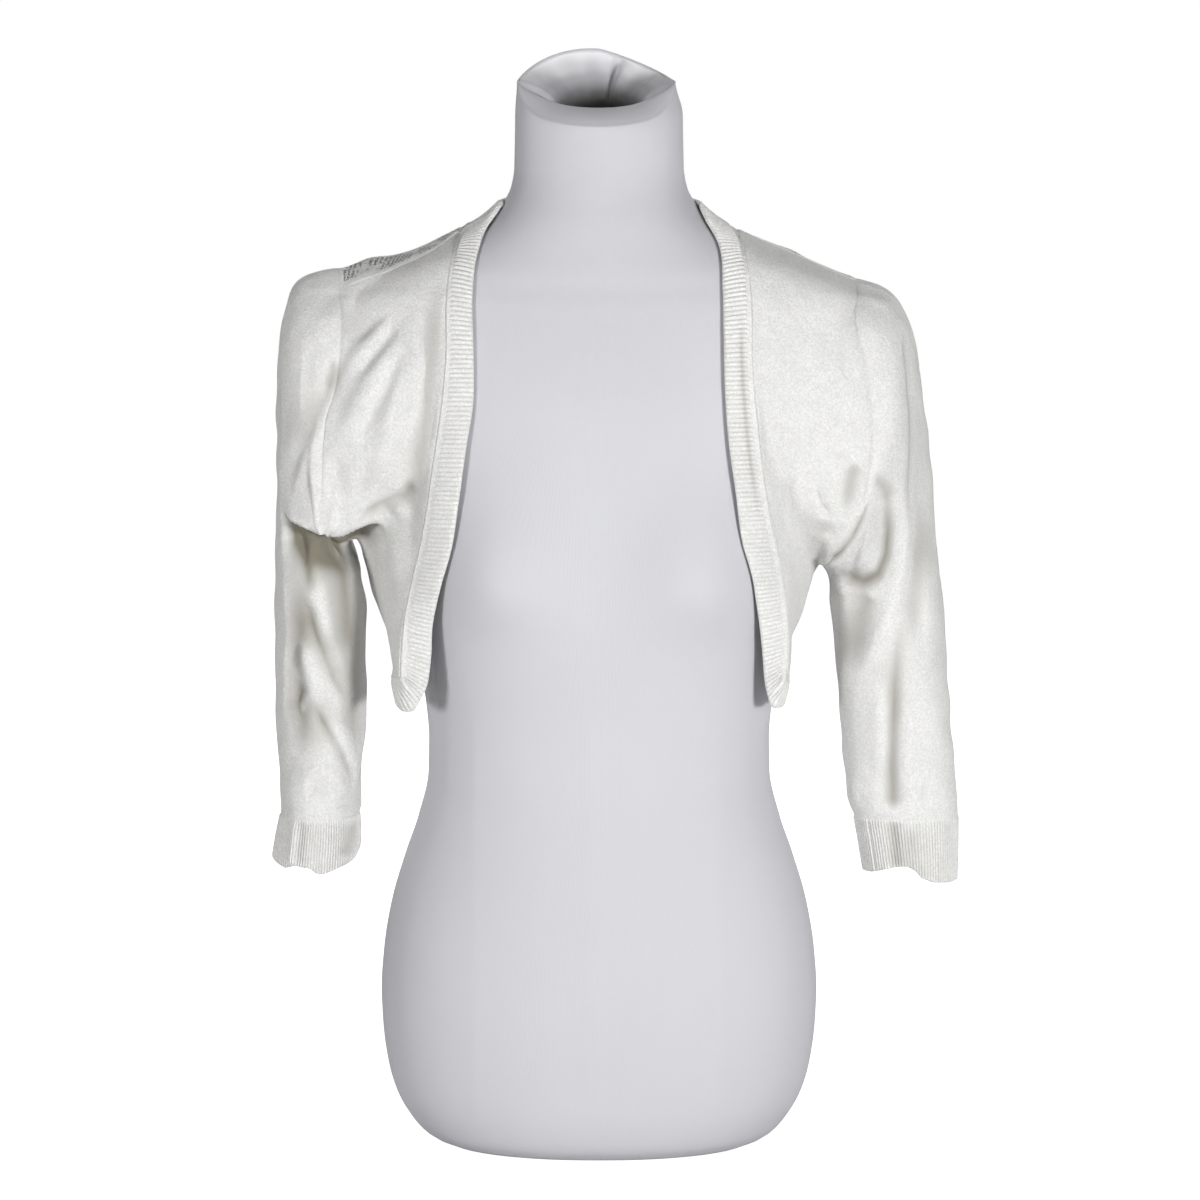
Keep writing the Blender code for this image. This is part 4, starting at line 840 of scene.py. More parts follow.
@dataclass(frozen=True)
class FrontShape:
    """A front panel, pulled taut over the form between its seams."""

    rounds: int = 12
    steps: int = 14

    def grid(self, seams: SideSeams) -> Array:
        """The panel on the form.

        Args:
            seams: the seams of its side.

        Returns:
            Rows from the hem to the shoulder, columns from the band to the armhole.
        """
        outer = np.vstack([seams.side_seam, seams.armhole_front[1:]])
        grid = filled(seams.front_seam, outer, seams.hem_front, seams.shoulder)
        grid = with_edges_of(FORM.keep_clear(grid), grid)
        for _ in range(self.rounds):
            for _ in range(self.steps):
                middle = (grid[:-2, 1:-1] + grid[2:, 1:-1] + grid[1:-1, :-2] + grid[1:-1, 2:]) / 4
                grid = grid.copy()
                grid[1:-1, 1:-1] = middle
            grid = with_edges_of(FORM.keep_clear(grid), grid)
        return grid


@dataclass(frozen=True)
class BackShape:
    """The back panel, laid on the form from a middle line at the height of the underarms."""

    middle_off: float = 4.0  # the middle line's distance off the form, in the middle of the back
    side_off: float = 30.0  # how much farther it is at the sides, by the sixth power across
    end_parts: int = 5  # the line's ends reach their seams over one of so many parts of the width
    most_off: float = 25.0  # the farthest that the upper back may hang off
    blend_rows: int = 8
    ridge_lift: float = 0.45
    ridges: tuple = ((100, 122, 1.2), (128, 150, 3.2))  # x from, x to and height of each one
    ridge_depth: float = 26.0
    tip: Pair = (-181.0, -160.0)  # x of the armhole's tip, where they begin, and where they are whole

    def middle(self, right: SideSeams, left: SideSeams, shares: Array) -> Array:
        """Line across the back: half of a super-ellipse, laid off the form and bent to both seams.

        Args:
            right: seams of the wearer's right.
            left: seams of the wearer's left.
            shares: from 0 at the right seam to 1 at the left.

        Returns:
            One point for each share.
        """
        turn = np.radians(180 * (1 - shares))
        height = np.interp(shares, [0, 1], [right.side_seam[-1][2], left.side_seam[-1][2]])
        width, _, depth = FORM.section(height)
        power = 2 / FORM.torso_power
        c, s = np.cos(turn), np.abs(np.sin(turn))
        lie = np.stack([width * np.sign(c) * np.abs(c) ** power, depth * s**power, height], axis=1)
        lie = FORM.lay_on(lie, self.middle_off + self.side_off * np.abs(2 * shares - 1) ** 6)
        parts = self.end_parts
        start = (right.side_seam[-1] - lie[0]) * np.maximum(0, 1 - parts * shares)[:, None] ** 2
        end = (left.side_seam[-1] - lie[-1]) * np.maximum(0, parts * shares - parts + 1)[:, None] ** 2
        return lie + start + end

    def grid(self, right: SideSeams, left: SideSeams) -> Array:
        """The whole back.

        Args:
            right: seams of the wearer's right.
            left: seams of the wearer's left.

        Returns:
            Rows from the hem to the neck, columns from the wearer's right to the left.
        """
        hem = np.vstack([right.hem_back, left.hem_back[-2::-1]])
        neck = np.vstack([right.neck_seam[-2::-1], left.neck_seam[1:]])
        top = np.vstack([right.shoulder[::-1], neck, left.shoulder[1:]])
        shares = even(len(hem) - 1)
        middle = self.middle(right, left, shares)
        lower = filled(right.side_seam, left.side_seam, hem, middle)
        upper = filled(right.armhole_back, left.armhole_back, middle, top)
        distance, _ = FORM.clearance(upper)
        across = np.abs(2 * shares - 1)[None, :] ** 1.3
        inner = FORM.lay_on(upper, BACK_SEAT + np.clip(distance - BACK_SEAT, 0, self.most_off) * across)
        row = np.arange(len(upper))[:, None]
        fade = np.minimum(1, np.minimum(row, row[::-1]) / self.blend_rows)[..., None]
        upper = with_edges_of(upper * (1 - fade) + inner * fade, upper)
        x, y = upper[..., 0], upper[..., 1]
        ridge = sum(height * rise(-x, start, end) for start, end, height in self.ridges)
        inland = np.minimum(1, row[::-1] / 4) * rise(x, *self.tip)
        upper[..., 2] += self.ridge_lift * ridge * bell(y, self.ridge_depth) * inland
        lower = with_edges_of(FORM.keep_clear(lower, BACK_SEAT), lower)
        return np.vstack([lower, upper[1:]])


def tube_ring(section: Sequence[float], turn: Array) -> Array:
    """Inner ring of a sleeve, an ellipse one wall inside its outer section.

    Args:
        section: height, middle x, middle y, half width, half depth.
        turn: 0 is beside the body, a quarter turn is the front.

    Returns:
        One point for each angle, with x away from the middle.
    """
    height, middle_x, middle_y, width, depth = section
    return np.stack([
        middle_x - (width - CLOTH) * np.cos(turn),
        middle_y - (depth - CLOTH) * np.sin(turn),
        np.full_like(turn, height),
    ], axis=1)


def section_at(table: Sequence, height: float) -> list[float]:
    """A sleeve's section between those of its table."""
    rows = np.asarray(table, float)[::-1]
    return [height] + [float(smooth_value(height, rows[:, 0], rows[:, c])) for c in (1, 2, 3, 4)]


@dataclass(frozen=True)
class SleeveShape:
    """A sleeve: a head that bends over from the armhole, and a hanging tube below it."""

    head_rows: int = 92
    tube_rows: int = 88
    path_steps: int = 160
    bulge: float = 4.5  # how far the head's front and back bend outwards
    hang_under: float = 0.5  # share of the fall in which the cloth under the arm hangs straight
    crowd: float = 1.5  # how much closer the head's rows are near its top

    def grid(self, seams: SideSeams) -> Array:
        """The sleeve, with cubic paths that leave the armhole outwards and reach the tube straight down.

        Args:
            seams: the seams of its side.

        Returns:
            Rows from the armhole down, columns round from the underarm by the front.
        """
        side = seams.side
        ring = seams.armhole() * side.mirror
        around = len(ring)
        turn = 2 * math.pi * np.arange(around) / around
        table = SLEEVE_SECTIONS[side]
        top = tube_ring(table[0], turn)
        upness = (1 - np.cos(turn)) / 2
        reach = CAP_REACH[side] * np.maximum(0, top[:, 0] - ring[:, 0] - CAP_START[side])
        outwards = [CAP_START[side] + reach, -self.bulge * np.sin(turn), CAP_LIFT[side] * upness]
        start = np.stack(outwards, axis=1)
        hang = self.hang_under + (CAP_HANG_TIP[side] - self.hang_under) * upness
        fall = (ring[:, 2] - top[:, 2]) * hang
        end = np.stack([-CAP_LEAN[side] * upness**2, np.zeros(around), fall], axis=1)
        t = np.linspace(0, 1, self.path_steps + 1)[:, None, None]
        paths = (
            (1 - t) ** 3 * ring + 3 * t * (1 - t) ** 2 * (ring + start)
            + 3 * t * t * (1 - t) * (top + end) + t**3 * top
        )
        crowded = 1 + (self.crowd - 1) * upness
        shares = even(self.head_rows)
        cap = np.stack([along(paths[:, c], shares ** crowded[c]) for c in range(around)], axis=1)
        cleared = FORM.keep_clear(cap)
        cleared[0] = cap[0]
        heights = np.linspace(table[0][0], table[-1][0], self.tube_rows + 1)[1:]
        tube = np.stack([tube_ring(section_at(table, height), turn) for height in heights])
        return np.concatenate([cleared, tube]) * side.mirror


# ---------------------------------------------------------------- measures of a grid
def grid_normals(grid: Array, around: bool, outside: Array) -> Array:
    """Unit cross products of the steps along rows and columns, turned away from middle points.

    Args:
        grid: rows by columns by 3.
        around: whether the last column meets the first.
        outside: points inside the piece.

    Returns:
        A direction for each point.
    """
    if around:
        across = np.roll(grid, -1, axis=1) - np.roll(grid, 1, axis=1)
    else:
        across = np.gradient(grid, axis=1)
    normal = np.cross(across, np.gradient(grid, axis=0))
    normal /= np.maximum(np.linalg.norm(normal, axis=-1, keepdims=True), 1e-9)
    return -normal if np.sum(normal * (grid - outside)) < 0 else normal


def spans(grid: Array, axis: int) -> Array:
    """Length along rows or columns, from the grid's first line."""
    steps = np.linalg.norm(np.diff(grid, axis=axis), axis=-1)
    total = np.cumsum(steps, axis=axis)
    first = np.zeros_like(total[:, :1] if axis == 1 else total[:1])
    return np.concatenate([first, total], axis=axis)


# ---------------------------------------------------------------- panels
@dataclass
class Panel:
    """A knitted piece as a grid of points on its inner side.

    Attributes:
        name: the CAD node that it stands for.
        grid: rows by columns by 3, in millimetres.
        centre: points inside the piece, for its outward direction.
        around: whether the last column meets the first.
        normals: the outward directions.
        hollow: shade painted into each point's yarn, deeper in folds and under the overhang.
    """

    name: str
    grid: Array
    centre: Array
    around: bool = False
    normals: Array = field(init=False)
    hollow: Array = field(init=False)

    def __post_init__(self) -> None:
        """Start with no folds."""
        self.hollow = np.zeros(self.grid.shape[:2])
        self.refresh()

    def refresh(self) -> None:
        """Work out the outward directions again."""
        self.normals = grid_normals(self.grid, self.around, self.centre)

    def border(self) -> Array:
        """Which points lie on the piece's edges.

        Returns:
            True there, for each point of the grid.
        """
        mask = np.zeros(self.grid.shape[:2], bool)
        mask[0] = mask[-1] = True
        if not self.around:
            mask[:, 0] = mask[:, -1] = True
        return mask

    def edge_distance(self) -> Array:
        """Distance along the cloth from each point to the nearest edge.

        Returns:
            The distances, for each point of the grid.
        """
        down, across = spans(self.grid, 0), spans(self.grid, 1)
        nearest = np.minimum(down, down[-1:] - down)
        if self.around:
            return nearest
        return np.minimum(nearest, np.minimum(across, across[:, -1:] - across))

    def places(self) -> Array:
        """Where each point lies in the flat cloth: wales run up, and courses lie level.

        Returns:
            Across and up, one column wider on a tube.
        """
        if self.around:
            closed = np.concatenate([self.grid, self.grid[:, :1]], axis=1)
            across, down = spans(closed, 1), spans(closed, 0)
            middle = closed.shape[1] // 2
            return np.stack([across - across[:, middle : middle + 1], down[-1:] - down], axis=-1)
        across, up = spans(self.grid, 1), spans(self.grid, 0) + self.grid[:1, :, 2]
        if self.name == "back":
            middle = self.grid.shape[1] // 2
            return np.stack([across - across[:, middle : middle + 1], up], axis=-1)
        return np.stack([across + np.abs(self.grid[:, :1, 0]), up], axis=-1)


@dataclass(frozen=True)
class Evening:
    """Evens out the places where a tube's cloth doubles back on itself."""

    rounds: int = 6
    steps: int = 12
    pull: float = 0.6  # share of the way to the mean of its neighbours that a point goes in a step
    # a direction's difference from its neighbours' mean that is let be, and that is too much
    bends: Pair = (0.02, 0.12)
    growth: int = 3  # times that the places found are widened
    widening: float = 1.6  # factor for a neighbour of one
    free_rows: int = 7  # rows from the armhole over which the evening comes in

    @staticmethod
    def neighbours(values: Array) -> Array:
        """Mean of the four values beside each one of a closed tube."""
        above, below = np.concatenate([values[:1], values[:-1]]), np.concatenate([values[1:], values[-1:]])
        return (above + below + np.roll(values, 1, axis=1) + np.roll(values, -1, axis=1)) / 4

    def apply(self, panel: Panel) -> None:
        """Find the doubled places and even them, round by round.

        Args:
            panel: the tube, which is changed.
        """
        for _ in range(self.rounds):
            panel.refresh()
            bend = 1 - np.sum(panel.normals * self.neighbours(panel.normals), axis=-1)
            worst = rise(bend, *self.bends)
            for _ in range(self.growth):
                worst = np.maximum(worst, self.neighbours(worst[..., None])[..., 0] * self.widening)
            worst = np.clip(worst, 0, 1)[..., None]
            worst *= rise(np.arange(len(worst)), 0, self.free_rows)[:, None, None]
            worst[-1] = 0
            for _ in range(self.steps):
                panel.grid = panel.grid + self.pull * worst * (self.neighbours(panel.grid) - panel.grid)
        panel.refresh()


def share_normals(panels: Sequence[Panel]) -> None:
    """Average the outward directions where panels are sewn together.

    Args:
        panels: the panels, which are changed.
    """
    masks = [panel.border() for panel in panels]
    points = np.vstack([panel.grid[mask] for panel, mask in zip(panels, masks)])
    normals = np.vstack([panel.normals[mask] for panel, mask in zip(panels, masks)])
    _, place = np.unique(np.round(points / SAME_SPOT).astype(int), axis=0, return_inverse=True)
    place = place.ravel()
    total = np.zeros((place.max() + 1, 3))
    np.add.at(total, place, normals)
    total /= np.linalg.norm(total, axis=1, keepdims=True)
    start = 0
    for panel, mask in zip(panels, masks):
        count = int(mask.sum())
        panel.normals[mask] = total[place[start : start + count]]
        start += count


def relief(x: Array, z: Array, folds: Sequence[Fold]) -> Array:
    """Sum of ridges and troughs: exp(-d^2) across a soft fold, exp(-1.6 d) across a pressed one.

    Args:
        x: across the view, away from the middle.
        z: up the view.
        folds: the folds of that side.

    Returns:
        How far the cloth stands out, and how much shade is painted into its yarn, on the last axis.
    """
    total = np.zeros((*np.shape(x), 2))
    for fold in folds:
        away, share = line_distance(x, z, fold.line)
        first, last = (max(length, LEAST_FADE) for length in fold.fade)
        strength = rise(share, FADE_START, first) * rise(1 - share, FADE_START, last)
        away = away / (fold.reach * (1 - NARROWING + NARROWING * strength))
        soft, crisp = np.exp(-(away**2)), np.exp(-CRISPNESS * away)
        height = fold.height * strength * ((1 - fold.sharp) * soft + fold.sharp * crisp)
        total += np.stack([height, height * -fold.tone / FOLD_FOR_SHADE], axis=-1)
    return total


@dataclass(frozen=True)
class Overhang:
    """Slack that droops over the cloth below a line, with a bell upwards and one downwards from it."""

    line: Line  # its lower edge in the front view
    above: float
    below: float
    out: float
    tuck: float
    drop: float
    edge: float = 1.1  # softness of its lower edge
    inner_end: Pair = (-4.0, 24.0)  # where it comes in, from the line's end nearest the middle
    outer_end: Pair = (-4.0, 8.0)  # where it runs out, from the other end
    facing: Pair = (12.0, 32.0)  # depths, forwards of the middle, between which the cloth takes part

    def slack(self, points: Array) -> Array:
        """How much each point takes part, from 0 to 1."""
        return rise(-points[..., 1], *self.facing) * (points[..., 0] < 0)

    def droop(self, points: Array, share: Array) -> tuple[Array, Array]:
        """Let the slack bulge out and down, and tuck in what is below it.

        Args:
            points: the cloth's points.
            share: how much each point takes part.

        Returns:
            The moved points, and how far each one is tucked in, from 0 to 1.
        """
        line = np.array(sorted(self.line))
        across, z = -points[..., 0], points[..., 2]
        first, last = line[0, 0], line[-1, 0]
        share = share * rise(across, first + self.inner_end[0], first + self.inner_end[1])
        share = share * rise(-across, -last + self.outer_end[0], -last + self.outer_end[1])
        up = z - np.interp(across, line[:, 0], line[:, 1])
        over = 0.5 + 0.5 * np.tanh(up / self.edge)
        above = over * bell(np.maximum(up, 0), self.above)
        below = (1 - over) * bell(np.minimum(up, 0), self.below)
        points = points.copy()
        points[..., 1] -= share * (self.out * above - self.tuck * below)
        points[..., 2] -= share * self.drop * above
        return points, share * below


# the slack in front of the right armhole
OVERHANG = Overhang(
    [(222, 466), (216, 462), (208, 459), (200, 455.5), (191, 452), (182, 451), (171, 456.5), (162, 459),
     (155, 458), (149, 452)],
    above=12, below=24, out=6, tuck=10, drop=5,
)


@dataclass
class Drape:
    """Folds, slack and unevenness of the cloth, and the shade painted into them, as functions of where a
    point lies.
    """

    curves: Sequence[Array]
    spots: int = 90  # about how many points of each one count
    stay: float = 5.0  # distance from them over which the cloth comes free
    seed: int = 7
    wave_count: int = 16
    wave_lengths: Pair = (16, 60)  # the shortest and the longest
    wave_height: float = 0.15
    usual_length: float = 30.0  # that length
    facing: float = 2.5  # how fast folds of one view come in as the cloth turns to it
    front_end: Pair = (560.0, 600.0)  # heights between which the front view's folds run out on the back panel
    tones: Pair = (-0.6, 1.5)  # the lightest and the darkest painted shade of a fold
    tuck_tone: float = 1.9  # painted shadow on the cloth that is tucked in under the overhang
    held: Array = field(init=False)
    waves: Array = field(init=False)
    phases: Array = field(init=False)
    heights: Array = field(init=False)

    def __post_init__(self) -> None:
        """Gather the held spots and draw the waves."""
        self.held = np.vstack([curve[:: max(1, len(curve) // self.spots)] for curve in self.curves])
        chance = np.random.default_rng(self.seed)
        self.waves = chance.normal(size=(self.wave_count, 3))
        lengths = chance.uniform(*self.wave_lengths, self.wave_count)
        self.waves *= (2 * math.pi / lengths / np.linalg.norm(self.waves, axis=1))[:, None]
        self.phases = chance.uniform(0, 2 * math.pi, self.wave_count)
        self.heights = self.wave_height * np.sqrt(lengths / self.usual_length)

    def freedom(self, points: Array) -> Array:
        """From 0 at a held seam to 1 well away from it."""
        nearest = np.full(points.shape[:-1], np.inf)
        for spot in self.held:
            nearest = np.minimum(nearest, np.sum((points - spot) ** 2, axis=-1))
        return rise(np.sqrt(nearest), 0.0, self.stay)

    def unevenness(self, points: Array) -> Array:
        """Sum of long soft sine waves in all directions."""
        return np.sin(points @ self.waves.T + self.phases) @ self.heights

    def folds(self, panel: Panel, side: Side | None) -> Array:
        """Relief of both views' folds, each where the cloth faces that view.

        Args:
            panel: the panel.
            side: the side it belongs to, or None for the back.

        Returns:
            Height and painted shade, on the last axis.
        """
        x, _, z = np.moveaxis(panel.grid, -1, 0)
        facing = panel.normals[..., 1]
        front, back = np.clip(-self.facing * facing, 0, 1), np.clip(self.facing * facing, 0, 1)
        fold = np.zeros((*x.shape, 2))
        for own in Side if side is None else (side,):
            here = np.ones(x.shape) if side is not None else (x * own.value > 0)
            fold += (here * front)[..., None] * relief(x * own.value, z, FRONT_FOLDS[own])
            fold += (here * back)[..., None] * relief(x * own.value, z, BACK_FOLDS[own])
        if side is None:
            fold *= 1 - front[..., None] * rise(z, *self.front_end)[..., None]
            fold += back[..., None] * relief(x, z, MIDDLE_BACK_FOLDS)
        return fold

    def hang(self, panel: Panel, side: Side | None) -> None:
        """Move a panel's points to where the folded cloth hangs, and paint shade into its folds and a shadow
        under the overhang.

        Args:
            panel: the panel, which is changed.
            side: the side it belongs to, or None for the back.
        """
        fold = self.folds(panel, side)
        free = self.freedom(panel.grid)
        slack = OVERHANG.slack(panel.grid) * free
        height = (fold[..., 0] + self.unevenness(panel.grid)) * free
        panel.grid = panel.grid + panel.normals * height[..., None]
        if panel.around:
            Evening().apply(panel)
        tucked = np.zeros(free.shape)
        if side is not Side.LEFT:
            panel.grid, tucked = OVERHANG.droop(panel.grid, slack)
        panel.grid = FORM.keep_clear(panel.grid)
        # painted shade by each fold's depth and tone, and a painted shadow under the overhang
        panel.hollow = np.clip(fold[..., 1], *self.tones) * free + self.tuck_tone * tucked
        panel.refresh()


# ---------------------------------------------------------------- meshes
@dataclass
class MeshBuilder:
    """Gathers grids of points into one mesh, with a UV map in the cloth's own measures."""

    points: list[Array] = field(default_factory=list)
    hollows: list[Array] = field(default_factory=list)
    faces: list[Array] = field(default_factory=list)
    places: list[Array] = field(default_factory=list)
    caps: list[Array] = field(default_factory=list)  # faces with many corners, as lists of indices
    total: int = 0

    def add(self, points: Array, hollow: Array | float = 0.0) -> Array:
        """Add points.

        Args:
            points: places, on the last axis.
            hollow: the shade painted on each one; on the form, below 0 a painted highlight.

        Returns:
            Their indices in the same layout.
        """
        index = self.total + np.arange(points[..., 0].size).reshape(points.shape[:-1])
        self.points.append(points.reshape(-1, 3))
        self.hollows.append(np.broadcast_to(hollow, index.shape).ravel())
        self.total += index.size
        return index

    @staticmethod
    def corners(grid: Array) -> Array:
        """The four corners of each cell of a grid."""
        return np.stack([grid[:-1, :-1], grid[:-1, 1:], grid[1:, 1:], grid[1:, :-1]], axis=2)

    def sheet(self, index: Array, places: Array, flip: bool = False) -> None:
        """Add one four-cornered face for each cell of a grid of indices."""
        faces, spots = self.corners(index).reshape(-1, 4), self.corners(places).reshape(-1, 4, 2)
        self.faces.append(faces[:, ::-1] if flip else faces)
        self.places.append(spots[:, ::-1] if flip else spots)

    def wall(
        self, inner: Array, outer: Array, places: Array, around: bool, hollow: Array | float = 0.0
    ) -> None:
        """Add a closed wall between an inner and an outer grid.

        Args:
            inner: points on the inner side.
            outer: points on the outer side.
            places: the UV grid, one column wider if the wall closes round.
            around: whether the last column meets the first.
            hollow: the shade painted on each point.
        """
        low, high = self.add(inner, hollow), self.add(outer, hollow)
        if around:
            low, high = (np.concatenate([grid, grid[:, :1]], axis=1) for grid in (low, high))
        self.sheet(high, places)
        self.sheet(low, places, flip=True)
        ends = [(low[0], high[0], places[0]), (high[-1], low[-1], places[-1])]
        if not around:
            ends += [(high[:, 0], low[:, 0], places[:, 0]), (low[:, -1], high[:, -1], places[:, -1])]
        for first, second, spots in ends:
            self.sheet(np.stack([first, second]), np.stack([spots, spots]))

    def make(
        self, name: str, material: bpy.types.Material, crease: float = 55.0
    ) -> bpy.types.Object:
        """Make the object, with its faces outwards, and let it ride on the body.

        Args:
            name: the piece's name.
            material: its finish.
            crease: the angle from which an edge is sharp, in degrees.

        Returns:
            The new object.
        """
        points = np.vstack(self.points) * MM
        faces, places = np.vstack(self.faces), np.vstack(self.places)
        a, b, c, d = (points[faces[:, i]] for i in range(4))
        volume = np.sum(a * np.cross(b, c)) + np.sum(a * np.cross(c, d))
        if volume < 0:
            faces, places = faces[:, ::-1], places[:, ::-1]
        caps = [(cap[::-1] if volume < 0 else cap).tolist() for cap in self.caps]
        mesh = bpy.data.meshes.new(name)
        mesh.from_pydata(points.tolist(), [], faces.tolist() + caps)
        uv = np.concatenate([places.reshape(-1, 2), np.zeros((sum(map(len, caps)), 2))])
        mesh.uv_layers.new(name="Cloth").data.foreach_set("uv", uv.astype(np.float32).ravel())
        # painted shade, and on the form a painted highlight, for the finishes to read
        store(mesh, "hollow", np.concatenate(self.hollows))
        mesh.materials.append(material)
        mesh.shade_smooth()
        mesh.set_sharp_from_angle(angle=math.radians(crease))
        item = bpy.data.objects.new(name, mesh)
        bpy.context.collection.objects.link(item)
        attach(item, "root")
        log.info("%s: %d points, %d faces", name, len(points), len(faces) + len(caps))
        return item


def store(mesh: bpy.types.Mesh, name: str, values: Array) -> None:
    """Keep a number for each point in the mesh."""
    mesh.attributes.new(name, "FLOAT", "POINT").data.foreach_set("value", values.astype(np.float32))


# ---------------------------------------------------------------- finishes
class Nodes:
    """Arithmetic in a node tree."""

    def __init__(self, tree: bpy.types.NodeTree) -> None:
        """Work in a tree."""
        self.tree = tree

    def join(self, source: Value, target: Socket) -> None:
        """Feed a socket from another socket, or set its value."""
        if isinstance(source, Socket):
            self.tree.links.new(source, target)
        else:
            target.default_value = source

    def math(
        self, operation: str, first: Value, second: Value = 0.0, third: Value = 0.0, clamp: bool = False
    ) -> Socket:
        """Result of one Math node.

        Args:
            operation: the node's operation.
            first: its first value.
            second: its second value.
            third: its third value.
            clamp: whether the result is kept from 0 to 1.

        Returns:
            The result.
        """
        node = self.tree.nodes.new("ShaderNodeMath")
        node.operation, node.use_clamp = operation, clamp
        for value, socket in zip((first, second, third), node.inputs):
            self.join(value, socket)
        return node.outputs[0]

    def total(self, *values: Value) -> Socket:
        """Sum of several values."""
        result = values[0]
        for value in values[1:]:
            result = self.math("ADD", result, value)
        return result

    def times(self, first: Value, second: Value) -> Socket:
        """Product of two values."""
        return self.math("MULTIPLY", first, second)

    def minus(self, first: Value, second: Value, clamp: bool = False) -> Socket:
        """Difference of two values."""
        return self.math("SUBTRACT", first, second, clamp=clamp)

    def span(self, value: Value, low: float, high: float, first: float = 0.0, last: float = 1.0) -> Socket:
        """Smooth step of a value.

        Args:
            value: the value.
            low: where the step begins.
            high: where it is complete.
            first: the result below.
            last: the result above.

        Returns:
            The result.
        """
        node = self.tree.nodes.new("ShaderNodeMapRange")
        node.interpolation_type = "SMOOTHSTEP"
        for socket, number in zip(node.inputs[1:5], (low, high, first, last)):
            socket.default_value = number
        self.join(value, node.inputs[0])
        return node.outputs[0]

    def parts(self, vector: Socket) -> tuple[Socket, Socket, Socket]:
        """The three parts of a vector."""
        split = self.tree.nodes.new("ShaderNodeSeparateXYZ")
        self.join(vector, split.inputs[0])
        return split.outputs[0], split.outputs[1], split.outputs[2]

    def seen(self) -> Socket:
        """1 for a ray straight from the camera, and otherwise 0."""
        return self.tree.nodes.new("ShaderNodeLightPath").outputs["Is Camera Ray"]


class Graph(Nodes):
    """Nodes of one procedural material."""

    def __init__(self, name: str) -> None:
        """Start a material."""
        self.material = bpy.data.materials.new(name)
        self.material.use_nodes = True
        super().__init__(self.material.node_tree)
        self.shader = self.tree.nodes["Principled BSDF"]

    def mix(self, factor: Value, first: Socket | Triple, second: Socket | Triple) -> Socket:
        """Blend of two colours.

        Args:
            factor: 0 for the first, 1 for the second.
            first: a colour.
            second: a colour.

        Returns:
            The blend.
        """
        node = self.tree.nodes.new("ShaderNodeMix")
        node.data_type = "RGBA"
        self.join(factor, node.inputs["Factor"])
        for value, socket in ((first, node.inputs[6]), (second, node.inputs[7])):
            self.join((*value, 1.0) if isinstance(value, tuple) else value, socket)
        return node.outputs[2]

    def places(self) -> tuple[Socket, Socket]:
        """The cloth's own two measures."""
        source = self.tree.nodes.new("ShaderNodeUVMap")
        source.uv_map = "Cloth"
        return self.parts(source.outputs[0])[:2]

    def attribute(self, name: str) -> Socket:
        """A number stored in the mesh."""
        node = self.tree.nodes.new("ShaderNodeAttribute")
        node.attribute_name = name
        return node.outputs["Fac"]

    def noise(self, scale: float, detail: float = 2.0, roughness: float = 0.5) -> Socket:
        """Noise on object coordinates.

        Args:
            scale: cells in a metre.
            detail: how many finer noises are added.
            roughness: their weight.

        Returns:
            The noise, from 0 to 1.
        """
        source = self.tree.nodes.new("ShaderNodeTexCoord")
        node = self.tree.nodes.new("ShaderNodeTexNoise")
        node.inputs["Scale"].default_value = scale
        node.inputs["Detail"].default_value = detail
        node.inputs["Roughness"].default_value = roughness
        self.join(source.outputs["Object"], node.inputs["Vector"])
        return node.outputs["Fac"]

    def bump(self, height: Socket, distance: float, strength: float, before: Socket | None = None) -> Socket:
        """Bump of a height on top of another bump.

        Args:
            height: the height.
            distance: its scale in metres.
            strength: its weight.
            before: the bump below it.

        Returns:
            The bent normal.
        """
        node = self.tree.nodes.new("ShaderNodeBump")
        node.inputs["Strength"].default_value = strength
        node.inputs["Distance"].default_value = distance
        self.join(height, node.inputs["Height"])
        if before is not None:
            self.join(before, node.inputs["Normal"])
        return node.outputs[0]

    def stitches(self, u: Socket, v: Socket, wale: float, course: float) -> Socket:
        """Height of plain knitting: each wale is two slanted strands that lean together like a V.

        Args:
            u: measure across the wales.
            v: measure along them.
            wale: width of a wale.
            course: height of a loop.

        Returns:
            The height, from 0 to 1.
        """
        across = self.math("PINGPONG", self.math("DIVIDE", u, wale), 0.5)
        strand = self.math("SINE", self.times(across, 2 * math.pi))
        slant = self.math("MULTIPLY_ADD", across, STITCH_SLANT, self.math("DIVIDE", v, course))
        turn = self.math("SINE", self.times(slant, 2 * math.pi))
        loops = self.math("MULTIPLY_ADD", turn, LOOP_DEPTH, 1 - LOOP_DEPTH)
        return self.times(self.math("POWER", self.math("MAXIMUM", strand, 0.0), STRAND_FULLNESS), loops)


@dataclass(frozen=True)
class Yarn:
    """Colours of a yarn, with the shade painted into it, and how it takes light.

    Attributes:
        light: its colour where it stands out, linear.
        crevice: its colour in the painted shade between the loops and in its darker random grain and fluff.
        shade: painted shade down in a fold.
        deep: painted shade at the bottom of the deepest folds and under the overhang.
        roughness: the shader's roughness.
        sheen: weight of the soft sheen of fibre ends.
        sheen_roughness: how widely that sheen spreads.
        gloss: the shader's specular level.
    """

    light: Triple = (0.97, 0.967, 0.955)
    crevice: Triple = (0.70, 0.694, 0.672)
    shade: Triple = (0.60, 0.592, 0.56)
    deep: Triple = (0.26, 0.24, 0.185)
    roughness: float = 0.92
    sheen: float = 0.12
    sheen_roughness: float = 0.6
    gloss: float = 0.2


